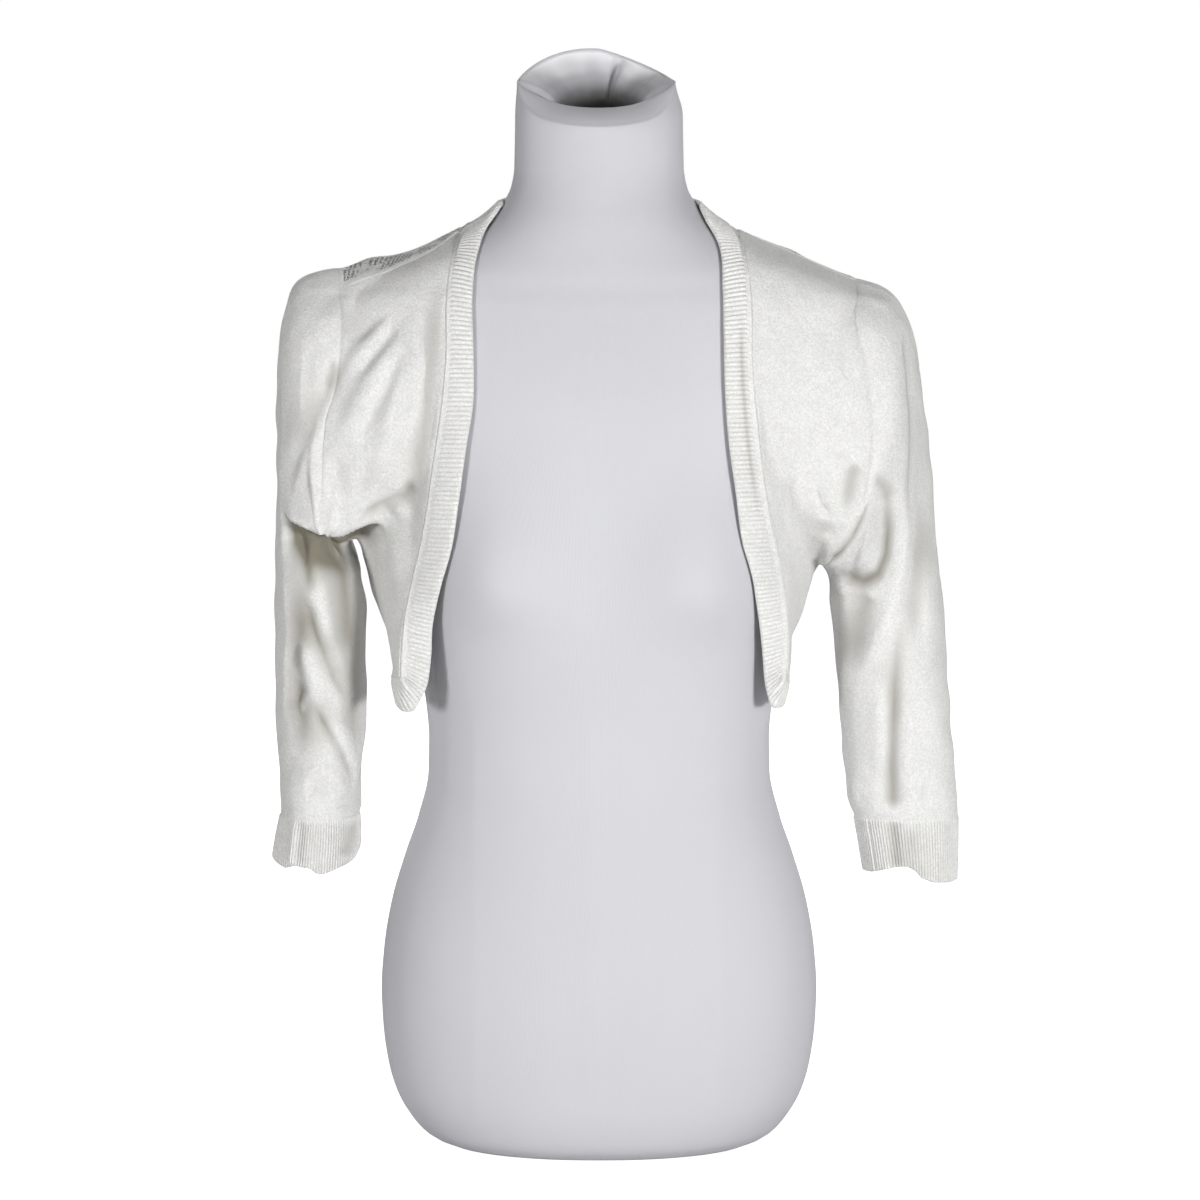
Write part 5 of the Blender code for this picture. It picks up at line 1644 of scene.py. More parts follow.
@dataclass(frozen=True)
class KnitFinish:
    """Plain fine-gauge knitting in cotton yarn."""

    yarn: Yarn
    wale: float = 1.25
    course: float = 0.95
    loop_height: float = 0.00022
    grain: float = 620.0
    cloud: float = 90.0
    fluff: float = 1100.0
    lump: float = 75.0
    # how much the painted shade between loops, and random grain, clouds and fluff, darken the yarn
    darkening: tuple[float, ...] = (0.2, 0.4, 0.1, 0.35)
    shade_at: Pair = (0.02, 0.95)  # depths in a fold between which the yarn takes its painted shade
    deep_at: Pair = (0.7, 1.9)  # depths between which it takes its deepest painted shade

    def material(self, name: str) -> bpy.types.Material:
        """Stitches, fluff and a slightly uneven tone, with painted shade between the loops and a warmer
        painted shade down in the folds.

        Args:
            name: the material's name.

        Returns:
            The material.
        """
        g, yarn = Graph(name), self.yarn
        u, v = g.places()
        loops = self.loops(g, u, v)
        grain = g.span(g.noise(self.grain, 3.0, 0.7), 0.38, 0.62)
        cloudy = g.span(g.noise(self.cloud, 3.0, 0.6), 0.3, 0.7)
        fluff = g.noise(self.fluff, 3.0, 0.75)
        # painted shade between the loops, and random grain, clouds and fluff
        darker = (g.minus(1.0, loops, clamp=True), grain, cloudy, g.span(fluff, 0.36, 0.64))
        shade_and_mottle_amount = g.total(*(g.times(value, weight) for value, weight in zip(darker, self.darkening)))
        colour = g.mix(shade_and_mottle_amount, yarn.light, yarn.crevice)
        # painted shade in the folds and under the overhang, warmer and darker the deeper
        hollow = g.attribute("hollow")
        colour = g.mix(g.span(hollow, *self.shade_at), colour, yarn.shade)
        g.join(g.mix(g.span(hollow, *self.deep_at), colour, yarn.deep), g.shader.inputs["Base Color"])
        normal = g.bump(g.noise(self.lump, 4.0, 0.6), 0.0024, 0.6)
        normal = g.bump(grain, 0.0003, 0.7, normal)
        normal = g.bump(fluff, 0.00025, 0.6, normal)
        g.join(g.bump(loops, self.loop_height, 0.8, normal), g.shader.inputs["Normal"])
        g.shader.inputs["Roughness"].default_value = yarn.roughness
        g.shader.inputs["Sheen Weight"].default_value = yarn.sheen
        g.shader.inputs["Sheen Roughness"].default_value = yarn.sheen_roughness
        g.shader.inputs["Specular IOR Level"].default_value = yarn.gloss
        self.finish(g, u, v)
        return g.material

    def loops(self, g: Graph, u: Socket, v: Socket) -> Socket:
        """The height of the stitches."""
        return g.stitches(u, v, self.wale, self.course)

    def finish(self, g: Graph, u: Socket, v: Socket) -> None:
        """Nothing more for plain knitting."""


@dataclass(frozen=True)
class RibFinish(KnitFinish):
    """One-by-one rib: a wale of loops on each ridge. The first measure counts ridges."""

    wale: float = 1.0
    course: float = 1.05
    loop_height: float = 0.00025

    def loops(self, g: Graph, u: Socket, v: Socket) -> Socket:
        """Loops that are highest in the middle of a ridge."""
        return g.stitches(g.math("ADD", u, self.wale / 2), v, self.wale, self.course)


@dataclass(frozen=True)
class LaceFinish(KnitFinish):
    """Openwork: a diagonal net of small holes round plain leaves and rosettes, inside a plain border."""

    repeat_across: float = 42.0
    repeat_up: float = 50.0
    petals: float = 6.0
    rosette: Pair = (9.0, 2.6)  # its middle radius, and how far its petals go in and out
    eye: Pair = (1.2, 2.1)  # radii between which the hole in its middle closes
    lean: Pair = (0.5, 0.866)  # slope of a leaf, as (across, up)
    leaf_at: float = 18.5
    # its half width in the middle, and its loss for each millimetre squared from there
    leaf: Pair = (3.4, -0.07)
    edge: Triple = (-0.7, -0.6, 0.3)  # softness of a rosette's and a leaf's edge, outside and inside
    mesh: float = 4.6
    strand: Pair = (0.07, 0.24)  # shares of a diamond over which its strand thins out
    closed: float = 0.4  # how much of a hole uneven yarn may close
    cut: float = 0.35  # solidity under which there is a hole
    # painted shade round each hole, for the shadowed gap under the lace
    dark: Triple = (0.05, 0.047, 0.042)
    # how fully the plain border keeps the yarn's light colour, without the painted shade
    bright: float = 0.9

    def plain(self, g: Graph, x: Socket, y: Socket) -> Socket:
        """The rosette, a circle with a cosine of six petals, and two leaves, almonds between two arcs.

        Args:
            g: the material's nodes.
            x: across, from the rosette's middle.
            y: up, from there.

        Returns:
            1 where the knitting is plain.
        """
        away = g.math("SQRT", g.math("ADD", g.times(x, x), g.times(y, y)))
        wave = g.math("COSINE", g.times(g.math("ARCTAN2", y, x), self.petals))
        radius = g.math("MULTIPLY_ADD", wave, self.rosette[1], self.rosette[0])
        plain = g.span(g.minus(away, radius), self.edge[0], self.edge[2], 1.0, 0.0)
        aside, upwards = self.lean
        for lean in (aside, -aside):
            along_leaf = g.math("ADD", g.times(x, lean), g.times(y, upwards))
            across_leaf = g.minus(g.times(x, upwards), g.times(y, lean))
            reach = g.math("ABSOLUTE", g.minus(g.math("ABSOLUTE", along_leaf), self.leaf_at))
            width = g.math("MULTIPLY_ADD", g.times(reach, reach), self.leaf[1], self.leaf[0])
            off = g.minus(g.math("ABSOLUTE", across_leaf), width)
            plain = g.math("MAXIMUM", plain, g.span(off, self.edge[1], self.edge[2], 1.0, 0.0))
        return g.math("MINIMUM", plain, g.span(away, *self.eye))

    def net(self, g: Graph, u: Socket, v: Socket) -> Socket:
        """Two sets of diagonal strands, with uneven yarn that half closes some holes.

        Args:
            g: the material's nodes.
            u: across.
            v: up.

        Returns:
            1 on a strand, and less in a hole.
        """
        strands = 0.0
        for lean in (1.0, -1.0):
            diagonal = g.math("DIVIDE", g.math("MULTIPLY_ADD", v, lean, u), self.mesh)
            nearest = g.math("PINGPONG", diagonal, 0.5)
            strands = g.math("MAXIMUM", strands, g.span(nearest, *self.strand, 1.0, 0.0))
        uneven = g.times(g.span(g.noise(230.0, 2.0, 0.5), 0.46, 0.62), self.closed)
        return g.math("ADD", strands, uneven)

    def finish(self, g: Graph, u: Socket, v: Socket) -> None:
        """Cut the holes, and paint dark shade on the yarn beside them, for the shadowed gap under the lace.

        Args:
            g: the material's nodes.
            u: across.
            v: up.
        """
        row = g.math("FLOOR", g.math("DIVIDE", v, self.repeat_up))
        half = g.times(g.math("MODULO", row, 2.0), self.repeat_across / 2)
        x = g.math("WRAP", g.math("ADD", u, half), self.repeat_across, 0.0)
        y = g.math("WRAP", v, self.repeat_up, 0.0)
        x, y = g.minus(x, self.repeat_across / 2), g.minus(y, self.repeat_up / 2)
        border = g.attribute("border")
        solid = g.math("MAXIMUM", g.math("MAXIMUM", self.plain(g, x, y), self.net(g, u, v)), border)
        g.join(g.math("GREATER_THAN", solid, self.cut), g.shader.inputs["Alpha"])
        colour = g.shader.inputs["Base Color"].links[0].from_socket
        colour = g.mix(g.times(border, self.bright), colour, self.yarn.light)
        # painted shade on the yarn beside each hole
        beside = g.span(solid, self.cut, self.cut + 0.2)
        g.join(g.mix(beside, self.dark, colour), g.shader.inputs["Base Color"])


@dataclass(frozen=True)
class CoverFinish:
    """Smooth jersey cover of the dress form."""

    colour: Triple = (0.61, 0.61, 0.643)
    shadow: Triple = (0.54, 0.54, 0.57)
    # painted shade in the neck's hole and in the creases of the tucked cover
    deep: Triple = (0.06, 0.057, 0.05)
    # painted highlight inside the back of the neck, where the cover catches light
    pale: Triple = (0.86, 0.86, 0.875)
    wale: float = 0.85
    course: float = 0.7
    roughness: float = 0.78
    sheen: float = 0.10
    gloss: float = 0.25

    def material(self, name: str) -> bpy.types.Material:
        """Very fine lengthwise wales, as the sum of two sines, a faint unevenness of tone, painted shade in
        the neck's hole and creases, and a painted highlight inside the back of the neck.

        Args:
            name: the material's name.

        Returns:
            The material.
        """
        g = Graph(name)
        u, v = g.places()
        wales = g.math("SINE", g.times(u, 2 * math.pi / self.wale))
        courses = g.math("SINE", g.times(v, 2 * math.pi / self.course))
        weave = g.math("MULTIPLY_ADD", courses, 0.3, wales)
        tone = g.math("MULTIPLY_ADD", g.noise(9.0), 0.5, g.times(g.noise(900.0, 3.0, 0.7), 0.6))
        colour = g.mix(g.minus(tone, 0.3, clamp=True), self.colour, self.shadow)
        # painted highlight where the shading is below 0, painted shade where it is above
        hollow = g.attribute("hollow")
        colour = g.mix(g.span(g.times(hollow, -1.0), 0.0, 1.0), colour, self.pale)
        g.join(g.mix(hollow, colour, self.deep), g.shader.inputs["Base Color"])
        normal = g.bump(g.noise(14.0), 0.0012, 0.35)
        g.join(g.bump(weave, 0.00004, 0.7, normal), g.shader.inputs["Normal"])
        g.shader.inputs["Roughness"].default_value = self.roughness
        g.shader.inputs["Sheen Weight"].default_value = self.sheen
        g.shader.inputs["Specular IOR Level"].default_value = self.gloss
        return g.material


# ---------------------------------------------------------------- the garment
@dataclass(frozen=True)
class Cut:
    """A piece's flat cut.

    Attributes:
        width: across, in metres.
        length: from end to end, in metres.
        area: the flat area, in square metres.
        held: how the cloth is held.
        rests_on: what it lies on or hangs from.
    """

    width: float
    length: float
    area: float
    held: str
    rests_on: tuple[str, ...]


def declare(item: bpy.types.Object, node: str) -> None:
    """Hide the CAD part that a piece of cloth replaces."""
    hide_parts(node)


def ridges(phase: Array) -> Array:
    """Height of one-by-one rib: broad round ridges and narrow valleys, a raised cosine to the 0.7."""
    return (0.5 + 0.5 * np.cos(2 * math.pi * phase)) ** 0.7


def rounded(left: Array, radius: float, least: float) -> Array:
    """Share of a wall beside its free edge: a quarter circle that never gets thinner than the least."""
    return np.sqrt(np.clip(1 - (1 - np.minimum(left / radius, 1)) ** 2, least, 1))


def seam_distance(around: int, winding: Array | float) -> Array:
    """Distance round a sleeve from its own seam."""
    return np.abs((np.arange(around)[None, :] / around - winding + 0.5) % 1 - 0.5)


@dataclass(frozen=True)
class BandRib:
    """Ribbed strip: a rail of linking stitches beside its seam, then ribs out to a rounded edge."""

    pitch: float = 3.1
    valley: float = 1.5
    ridge: float = 2.6
    # places across the band from its seam, in millimetres of a 17.6 mm band
    rows: tuple = (0, 0.4, 0.85, 1.3, 1.75, 2.2, 2.6, 3.1, 3.9, 5.4, 7, 9, 11.5, 14, 16, 16.8, 17.3, 17.6)
    rail: Pair = (1.45, 0.5)  # wall of the rail, and how much its two rows of stitches add
    rail_rows: Pair = (0.85, 2.2)  # where those rows are
    rail_width: float = 0.42
    link: float = 0.25  # how far a stitch of the rail falls off at its ends
    ribs_from: Pair = (2.7, 3.9)  # where the ribs begin and where they are whole
    groove: Pair = (0.12, 0.5)  # how much thinner the band is at its seam, and how far that reaches
    edge: Pair = (1.4, 0.10)  # radius of the free edge, and the square of its least share
    bulge: float = 0.7  # how far the band's middle stands out
    snug: Pair = (640.0, 672.0)  # heights between which the band comes to lie on the form
    # painted shade down in the valleys between the ribs
    shade: float = 0.48
    shade_from: Pair = (2.9, 4.0)  # where it begins and where it is whole
    # place, width, depth and painted shade of the left front's pressed line
    crease: tuple[float, ...] = (7.0, 1.6, 0.8, 0.75)
    crease_low: Pair = (455.0, 500.0)  # heights between which that line comes in
    crease_high: Pair = (575.0, 610.0)  # heights between which it runs out

    def lie(self, stretches: list[tuple[Array, Array]]) -> tuple[Array, Array]:
        """The strip's inner side: straight from seam to edge, and round the neck laid on the form.

        Args:
            stretches: pairs of dense curves, the seam and the free edge.

        Returns:
            Rows from the seam to the edge, and the outward directions.
        """
        strip = Strip(stretches)
        counts = [RIB_STEPS * max(1, round(length / self.pitch)) for length in strip.lengths()]
        seam, edge = strip.edges(counts)
        share = (np.array(self.rows) / self.rows[-1])[:, None, None]
        flat = seam[None] * (1 - share) + edge[None] * share
        off_seam, off_edge = FORM.clearance(seam)[0], FORM.clearance(edge)[0]
        wanted = off_seam[None] * (1 - share[..., 0]) + off_edge[None] * share[..., 0]
        snug = rise(flat[..., 2:], *self.snug)
        flat = flat * (1 - snug) + FORM.lay_on(flat, wanted) * snug
        flat = FORM.keep_clear(flat, NECK_SEAT)
        normals = grid_normals(flat, False, AXIS)
        return flat + normals * self.bulge * np.sin(math.pi * share), normals

    def wall(self, phase: Array, off: Array) -> Array:
        """Thickness: two rows of linking stitches, then ribs, with a rounded edge.

        Args:
            phase: how many ridges along the band.
            off: distance from the seam.

        Returns:
            The wall at each point.
        """
        stitch = 1 - self.link + self.link * np.cos(4 * math.pi * phase)
        rows = sum(bell(off - row, self.rail_width) for row in self.rail_rows)
        rail = self.rail[0] + self.rail[1] * stitch * rows
        ribs = self.valley + (self.ridge - self.valley) * ridges(phase)
        wall = rail + (ribs - rail) * rise(off, *self.ribs_from)
        wall = wall - self.groove[0] * bell(off, self.groove[1])
        return wall * rounded(np.maximum(self.rows[-1] - off, 0.0), *self.edge)

    def build(
        self, name: str, stretches: list[tuple[Array, Array]], finish: bpy.types.Material, side: Side | None
    ) -> None:
        """Make a band and dress it.

        Args:
            name: the CAD node.
            stretches: pairs of dense curves, the seam and the free edge.
            finish: the rib's material.
            side: the side of a front band, or None for the hem.
        """
        flat, normals = self.lie(stretches)
        phase = (np.arange(flat.shape[1]) / RIB_STEPS)[None, :]
        off = np.array(self.rows)[:, None]
        # painted shade in the valleys between the ribs
        shade = self.shade * (1 - ridges(phase)) * rise(off, *self.shade_from)
        if side is Side.LEFT:
            place, width, depth, tone = self.crease
            heights = rise(flat[..., 2], *self.crease_low) * (1 - rise(flat[..., 2], *self.crease_high))
            crease = bell(off - place, width) * heights
            flat = FORM.keep_clear(flat - normals * (depth * crease)[..., None], NECK_SEAT)
            # painted shade along the pressed line
            shade = shade + tone * crease
        places = np.stack(np.broadcast_arrays(phase, spans(flat, 0)), axis=-1)
        mesh = MeshBuilder()
        mesh.wall(flat, flat + normals * self.wall(phase, off)[..., None], places, False, shade)
        declare(mesh.make(name + "_rib", finish, RIB_CREASE), name)


@dataclass(frozen=True)
class CuffRib:
    """Ribbed end of a sleeve, from its seam down to its scalloped end."""

    ribs: int = 98
    valley: float = 1.25
    ridge: float = 2.15
    # places down the cuff, as shares of its length
    rows: tuple = (0, 0.015, 0.035, *np.linspace(0.07, 0.94, 14), 0.965, 0.985, 1.0)
    ribs_from: Pair = (0.6, 2.4)  # distances from the seam over which the ribs come in
    groove: float = 0.8  # reach of the groove at the seam
    girth: float = 205.0
    seam: Pair = (0.8, 1.0)  # depth and reach of the left cuff's own seam
    edge: Pair = (1.1, 0.12)  # radius of the free edge, and the square of its least share
    # painted shade down in the valleys between the ribs
    shade: float = 0.5
    facing: float = 2.5  # how fast folds come in as the cuff turns to the front
    fold_from: float = 5.0  # distance from the seam over which they come in

    def grid(self, side: Side, around: int) -> Array:
        """Inner side: ellipses between the table's, with waves and scallops that grow to the end.

        Args:
            side: the side.
            around: how many columns.

        Returns:
            Rows from the seam down.
        """
        turn = 2 * math.pi * np.arange(around) / around
        table = CUFF_SECTIONS[side]
        at, raised = zip(*CUFF_SCALLOPS[side])
        scallops = smooth_value(np.degrees(turn), at, raised)
        rows = []
        for share in self.rows:
            ring = tube_ring(section_at(table, table[0][0] + share * (table[-1][0] - table[0][0])), turn)
            for waves, phase, height in CUFF_WAVES[side]:
                ring[:, 2] += share**2 * height * np.cos(waves * turn + phase)
            ring[:, 2] += share**2 * scallops
            rows.append(ring)
        return np.stack(rows) * side.mirror

    def build(self, side: Side, finish: bpy.types.Material) -> None:
        """Make a cuff and dress it.

        Args:
            side: the side.
            finish: the rib's material.
        """
        around = self.ribs * RIB_STEPS
        grid = self.grid(side, around)
        normals = grid_normals(grid, True, grid.mean(axis=1, keepdims=True))
        down = spans(grid, 0)
        x, _, z = np.moveaxis(grid, -1, 0)
        front = np.clip(-self.facing * normals[..., 1], 0, 1) * rise(down, 0.0, self.fold_from)
        fold = front[..., None] * relief(x * side.value, z, CUFF_FOLDS[side])
        grid = grid + normals * fold[..., :1]
        height = ridges(np.arange(around)[None, :] / RIB_STEPS)
        ribs = self.valley + (self.ridge - self.valley) * height
        wall = CLOTH + (ribs - CLOTH) * rise(down, *self.ribs_from) - SEAM_GROOVE * bell(down, self.groove)
        if side is Side.LEFT:
            off = seam_distance(around, SLEEVE_SEAM_TURN) * self.girth
            wall = wall - self.seam[0] * bell(off, self.seam[1])
        wall = wall * rounded(down[-1:] - down, *self.edge)
        phase = np.arange(around + 1)[None, :] / RIB_STEPS
        closed = np.concatenate([down, down[:, :1]], axis=1)
        places = np.stack(np.broadcast_arrays(phase, closed), axis=-1)
        # painted shade in the valleys between the ribs and in the cuff's folds
        shade = self.shade * (1 - height) * rise(down, *self.ribs_from) + fold[..., 1]
        mesh = MeshBuilder()
        mesh.wall(grid, grid + normals * wall[..., None], places, True, shade)
        declare(mesh.make(f"cuff_{side.tag}_rib", finish, RIB_CREASE), "cuff_" + side.tag)


@dataclass
class Shrug:
    """Two fronts, a lace back and two sleeves in plain knitting, with ribbed bands and cuffs."""

    yarn: Yarn = Yarn()
    groove_reach: float = 1.1
    sleeve_seam: Pair = (0.7, 1.3)  # depth, as a share of a seam's groove, and reach of a sleeve's own seam
    lace_border: Pair = (3.6, 5.0)  # distances from the lace's edge over which its plain border ends
    selvage: Triple = (1.1, 2.3, 1.6)  # height, place and reach of the ridge along that border
    selvage_heights: Pair = (590.0, 612.0)  # heights between which the ridge comes in
    selvage_sides: Pair = (168.0, 181.0)  # distances from the middle between which it runs out
    seams: dict[Side, SideSeams] = field(init=False)

    def __post_init__(self) -> None:
        """Lay the seams of both sides."""
        self.seams = {side: SideSeams(side) for side in Side}

    def build(self) -> None:
        """Hang the panels, then the strips of rib, and dress them all."""
        jersey = KnitFinish(self.yarn).material("fine_knit_finish")
        lace = LaceFinish(self.yarn).material("lace_finish")
        rib = RibFinish(self.yarn).material("rib_knit_finish")
        for name, panel in self.panels().items():
            if name == "back":
                self.lace_piece(panel, lace)
            else:
                thickness = CLOTH - self.groove(panel)
                declare(self.piece(panel, 0.0, thickness, jersey, "fine_knit"), name)
        for side, own in self.seams.items():
            BandRib().build("band_" + side.tag, own.band.stretches, rib, side)
            CuffRib().build(side, rib)
        right, left = (self.seams[side].hem.stretches[0] for side in (Side.RIGHT, Side.LEFT))
        BandRib().build("band_hem", [right, (left[0][::-1], left[1][::-1])], rib, None)

    @staticmethod
    def piece(
        panel: Panel, start: float, thickness: Array, finish: bpy.types.Material, slot: str
    ) -> bpy.types.Object:
        """Give a panel its wall and finish.

        Args:
            panel: the panel.
            start: how far off its grid the wall begins.
            thickness: the wall at each point.
            finish: its material.
            slot: not used.

        Returns:
            The piece.
        """
        mesh = MeshBuilder()
        inner = panel.grid + panel.normals * start
        outer = inner + panel.normals * thickness[..., None]
        mesh.wall(inner, outer, panel.places(), panel.around, panel.hollow)
        return mesh.make(panel.name + "_cloth", finish)

    def lace_piece(self, panel: Panel, finish: bpy.types.Material) -> None:
        """Make the lace back, which is thinner and lies flush with the plain pieces' outer side.

        Args:
            panel: the back.
            finish: the lace's material.
        """
        thickness = LACE - self.groove(panel) * LACE / CLOTH + self.ridge(panel)
        item = self.piece(panel, CLOTH - LACE, thickness, finish, "lace")
        border = 1 - rise(panel.edge_distance(), *self.lace_border)
        store(item.data, "border", np.tile(border.ravel(), 2))
        declare(item, panel.name)

    def panels(self) -> dict[str, Panel]:
        """The five panels as they hang.

        Returns:
            Each one by the name of its CAD node.
        """
        panels: dict[str, Panel] = {}
        sides: dict[str, Side | None] = {}
        for side, own in self.seams.items():
            front, sleeve = "front_" + side.tag, "sleeve_" + side.tag
            panels[front] = Panel(front, FrontShape().grid(own), AXIS)
            grid = SleeveShape().grid(own)
            panels[sleeve] = Panel(sleeve, grid, grid.mean(axis=1, keepdims=True), around=True)
            sides[front] = sides[sleeve] = side
        panels["back"] = Panel("back", BackShape().grid(self.seams[Side.RIGHT], self.seams[Side.LEFT]), AXIS)
        sides["back"] = None
        share_normals(list(panels.values()))
        held = []
        for side, own in self.seams.items():
            held += [own.front_seam, own.neck_seam, own.hem_front, own.hem_back, own.shoulder]
            held.append(panels["sleeve_" + side.tag].grid[-1])
        drape = Drape(held)
        for name, panel in panels.items():
            drape.hang(panel, sides[name])
        share_normals(list(panels.values()))
        return panels

    def groove(self, panel: Panel) -> Array:
        """How much thinner the cloth is beside a seam, and along a sleeve's own seam.

        Args:
            panel: the panel.

        Returns:
            A depth for each point.
        """
        depth = bell(panel.edge_distance(), self.groove_reach)
        if panel.around:
            down, across = spans(panel.grid, 0), spans(panel.grid, 1)
            winding = SLEEVE_SEAM_TURN * down / down[-1:]
            off = seam_distance(panel.grid.shape[1], winding) * across[:, -1:]
            depth = np.maximum(depth, self.sleeve_seam[0] * bell(off, self.sleeve_seam[1]))
        return SEAM_GROOVE * depth

    def ridge(self, panel: Panel) -> Array:
        """How much thicker the lace's plain border is along the shoulder seams."""
        height, place, reach = self.selvage
        high = rise(panel.grid[..., 2], *self.selvage_heights)
        inside = 1 - rise(np.abs(panel.grid[..., 0]), *self.selvage_sides)
        return height * bell(panel.edge_distance() - place, reach) * high * inside


# ---------------------------------------------------------------- the dress form
@dataclass(frozen=True)
class DressForm:
    """Limbless form under a jersey cover that is tucked into its neck."""

    segments: int = 240
    ring_gap: float = 3.2
    girth: float = 940.0
    # the roll at the front of the rim, as (inwards, up) from the outer wall
    front_lip: Line = (
        (0, 0), (1.6, 1.4), (4.4, 2.9), (7.6, 4.1), (11, 5), (14, 5.4), (16.6, 5.4), (18.4, 4.2), (19, 1.6),
    )
    # the same at the back
    back_lip: Line = (
        (0, 0), (0, 0.4), (0.1, 0.8), (0.3, 1.1), (0.7, 1.3), (1.1, 1.1), (1.3, 0.8), (1.4, 0.4), (1.5, 0),
    )
    lip_steps: int = 12
    # how much smaller the roll is at the sides, and over which sine of the angle
    lip_pinch: Pair = (0.5, 0.16)
    front_drop: float = 6.6
    front_from: Pair = (-0.1, 0.8)  # sines of the angle between which the roll becomes the front's
    # places of the neck's rings, from its base to the rim
    collar_shares: tuple = (*np.linspace(0, 0.93, 16)[1:], 0.95, 0.965, 0.978, 0.99, 1.0)
    collar_groove: Pair = (1.3, 32.0)  # depth of the groove under the front's roll, and how narrow it is
    # middle y, half width, half depth, height and rise to the back of the hole's lower edge
    hole: tuple[float, float, float, float, float] = (4.0, 30.0, 31.0, 755.0, 11.0)
    hole_rings: int = 25
    hole_sag: float = 6.0
    steep: Pair = (0.8, -0.3)  # how much steeper its back falls, and from which sine of the angle
    throat_rings: int = 14
    throat: Pair = (0.25, 66.0)  # how much the throat narrows, and how deep it is
    # creases in the tucked cover: turn, width and height
    tucks: tuple = (
        (77, 4, -3.4), (68, 7, 3.4), (97, 10, -1.4), (114, 12, 1.2), (135, 11, -1.2), (152, 9, 1.6),
        (50, 10, -1.2), (33, 9, 2.2), (-60, 8, -1.6), (-95, 8, 1.4), (-125, 9, -1.6), (7, 4, 3.4),
        (-1, 3, -3), (173, 4, 3.4), (181, 3, -3),
    )
    crease_tone: Pair = (0.1, 4.0)  # painted shade for a millimetre of a tuck's trough, and the deepest that counts
    panel_lines: tuple[float, ...] = (-88.0, -6.0, 86.0)  # x of the faint lengthwise lines in front
    line_size: Pair = (0.45, 5.0)  # height and reach of one

    def torso(self, turn: Array) -> list[Array]:
        """Level rings from the base to the neck, closer together where the outline bends.

        Args:
            turn: the rings' angles.

        Returns:
            The rings.
        """
        keys = FORM_SECTIONS[:, 0]
        keys = keys[keys <= FORM.neck_base]
        counts = [max(2, round((b - a) / self.ring_gap)) for a, b in zip(keys[:-1], keys[1:])]
        levels = [np.linspace(a, b, n + 1)[:-1] for a, b, n in zip(keys[:-1], keys[1:], counts)]
        return [self.lined(FORM.ring(z, turn)) for z in np.concatenate(levels + [[FORM.neck_base]])]

    def lined(self, ring: Array) -> Array:
        """Raise the faint lengthwise lines in front, below the waist, each one a bell across.

        Args:
            ring: a level ring.

        Returns:
            A new ring.
        """
        x, y, z = ring.T
        height, reach = self.line_size
        lines = height * sum(bell(x - line, reach) for line in self.panel_lines)
        lines = lines * rise(z, 20, 60) * rise(-z, -345, -300) * np.clip(-y / 40, 0, 1)
        ring = ring.copy()
        ring[:, 1] -= lines
        return ring

    def collar(self, turn: Array, front: Array) -> list[Array]:
        """The neck's wall up to the rim, and the rolled lip that goes inwards from it.

        Args:
            turn: the rings' angles.
            front: how much each angle belongs to the front.

        Returns:
            The rings.
        """
        pinch, sine = self.lip_pinch
        size = 1 - pinch * bell(np.sin(turn), sine)[:, None]
        rolls = (dense_curve(lip, np.ones(2))[:: self.lip_steps] for lip in (self.front_lip, self.back_lip))
        front_roll, back_roll = rolls
        lip = (front_roll[:, None] * front + back_roll[:, None] * (1 - front)) * size
        height = lip[..., 1].max(axis=0) + self.front_drop * front[:, 0]
        depth, narrow = self.collar_groove
        rings = []
        for share in self.collar_shares:
            groove = depth * front * math.exp(-(((1 - share) * narrow) ** 2))
            rings.append(FORM.neck_ring(share, groove, height * share, turn))
        for inwards, up in zip(lip[1:, :, 0], lip[1:, :, 1]):
            rings.append(FORM.neck_ring(1, inwards[:, None], height - up, turn))
        return rings

    def funnel(self, rim: Array, turn: Array) -> tuple[list[Array], list[Array]]:
        """The tucked-in cover from the lip down to the hole's lower edge, a tilted ellipse.

        Args:
            rim: the lip's last ring.
            turn: the rings' angles.

        Returns:
            The rings, and the painted shade of their creases.
        """
        middle, width, depth, level, slant = self.hole
        sine = np.sin(turn)
        edge = np.stack([width * np.cos(turn), middle + depth * sine, level + slant * sine], axis=1)
        steep = 1 + self.steep[0] * np.clip(sine - self.steep[1], 0, 1)
        tone, deepest = self.crease_tone
        rings, tones = [], []
        for share in even(self.hole_rings)[1:]:
            inwards = (share**steep)[:, None]
            ring = rim * (1 - inwards) + edge * inwards
            ring[:, 2] = rim[:, 2] * (1 - share) + edge[:, 2] * share - self.hole_sag * share**4
            crease = self.tuck(turn, share)
            # painted shade in the trough of each crease
            tones.append(np.clip(-crease[:, 2], 0, deepest) * tone)
            rings.append(ring + crease)
        return rings, tones

    def tuck(self, turn: Array, share: float) -> Array:
        """Creases that run from the rim into the hole, bells round it that are highest half way down.

        Args:
            turn: the ring's angles.
            share: how far down the ring is, from 0 to 1.

        Returns:
            How far each point moves.
        """
        height = np.zeros_like(turn)
        for at, width, size in self.tucks:
            off = (turn - math.radians(at) + math.pi) % (2 * math.pi) - math.pi
            height += size * bell(off, math.radians(width))
        height *= math.sin(math.pi * min(1.0, 0.05 + 0.75 * share)) ** 0.7
        way = [-0.4 * np.cos(turn), -0.4 * np.sin(turn), np.full_like(turn, 0.85)]
        return height[:, None] * np.stack(way, axis=1)

    def below(self, mouth: Array) -> list[Array]:
        """The throat under the hole's lower edge, which narrows evenly.

        Args:
            mouth: the last ring above it.

        Returns:
            The rings.
        """
        middle = [0, self.hole[0]]
        narrowing, depth = self.throat
        rings = []
        for drop in even(self.throat_rings)[1:]:
            ring = mouth.copy()
            ring[:, :2] = (ring[:, :2] - middle) * (1 - narrowing * drop) + middle
            ring[:, 2] -= depth * drop
            rings.append(ring)
        return rings

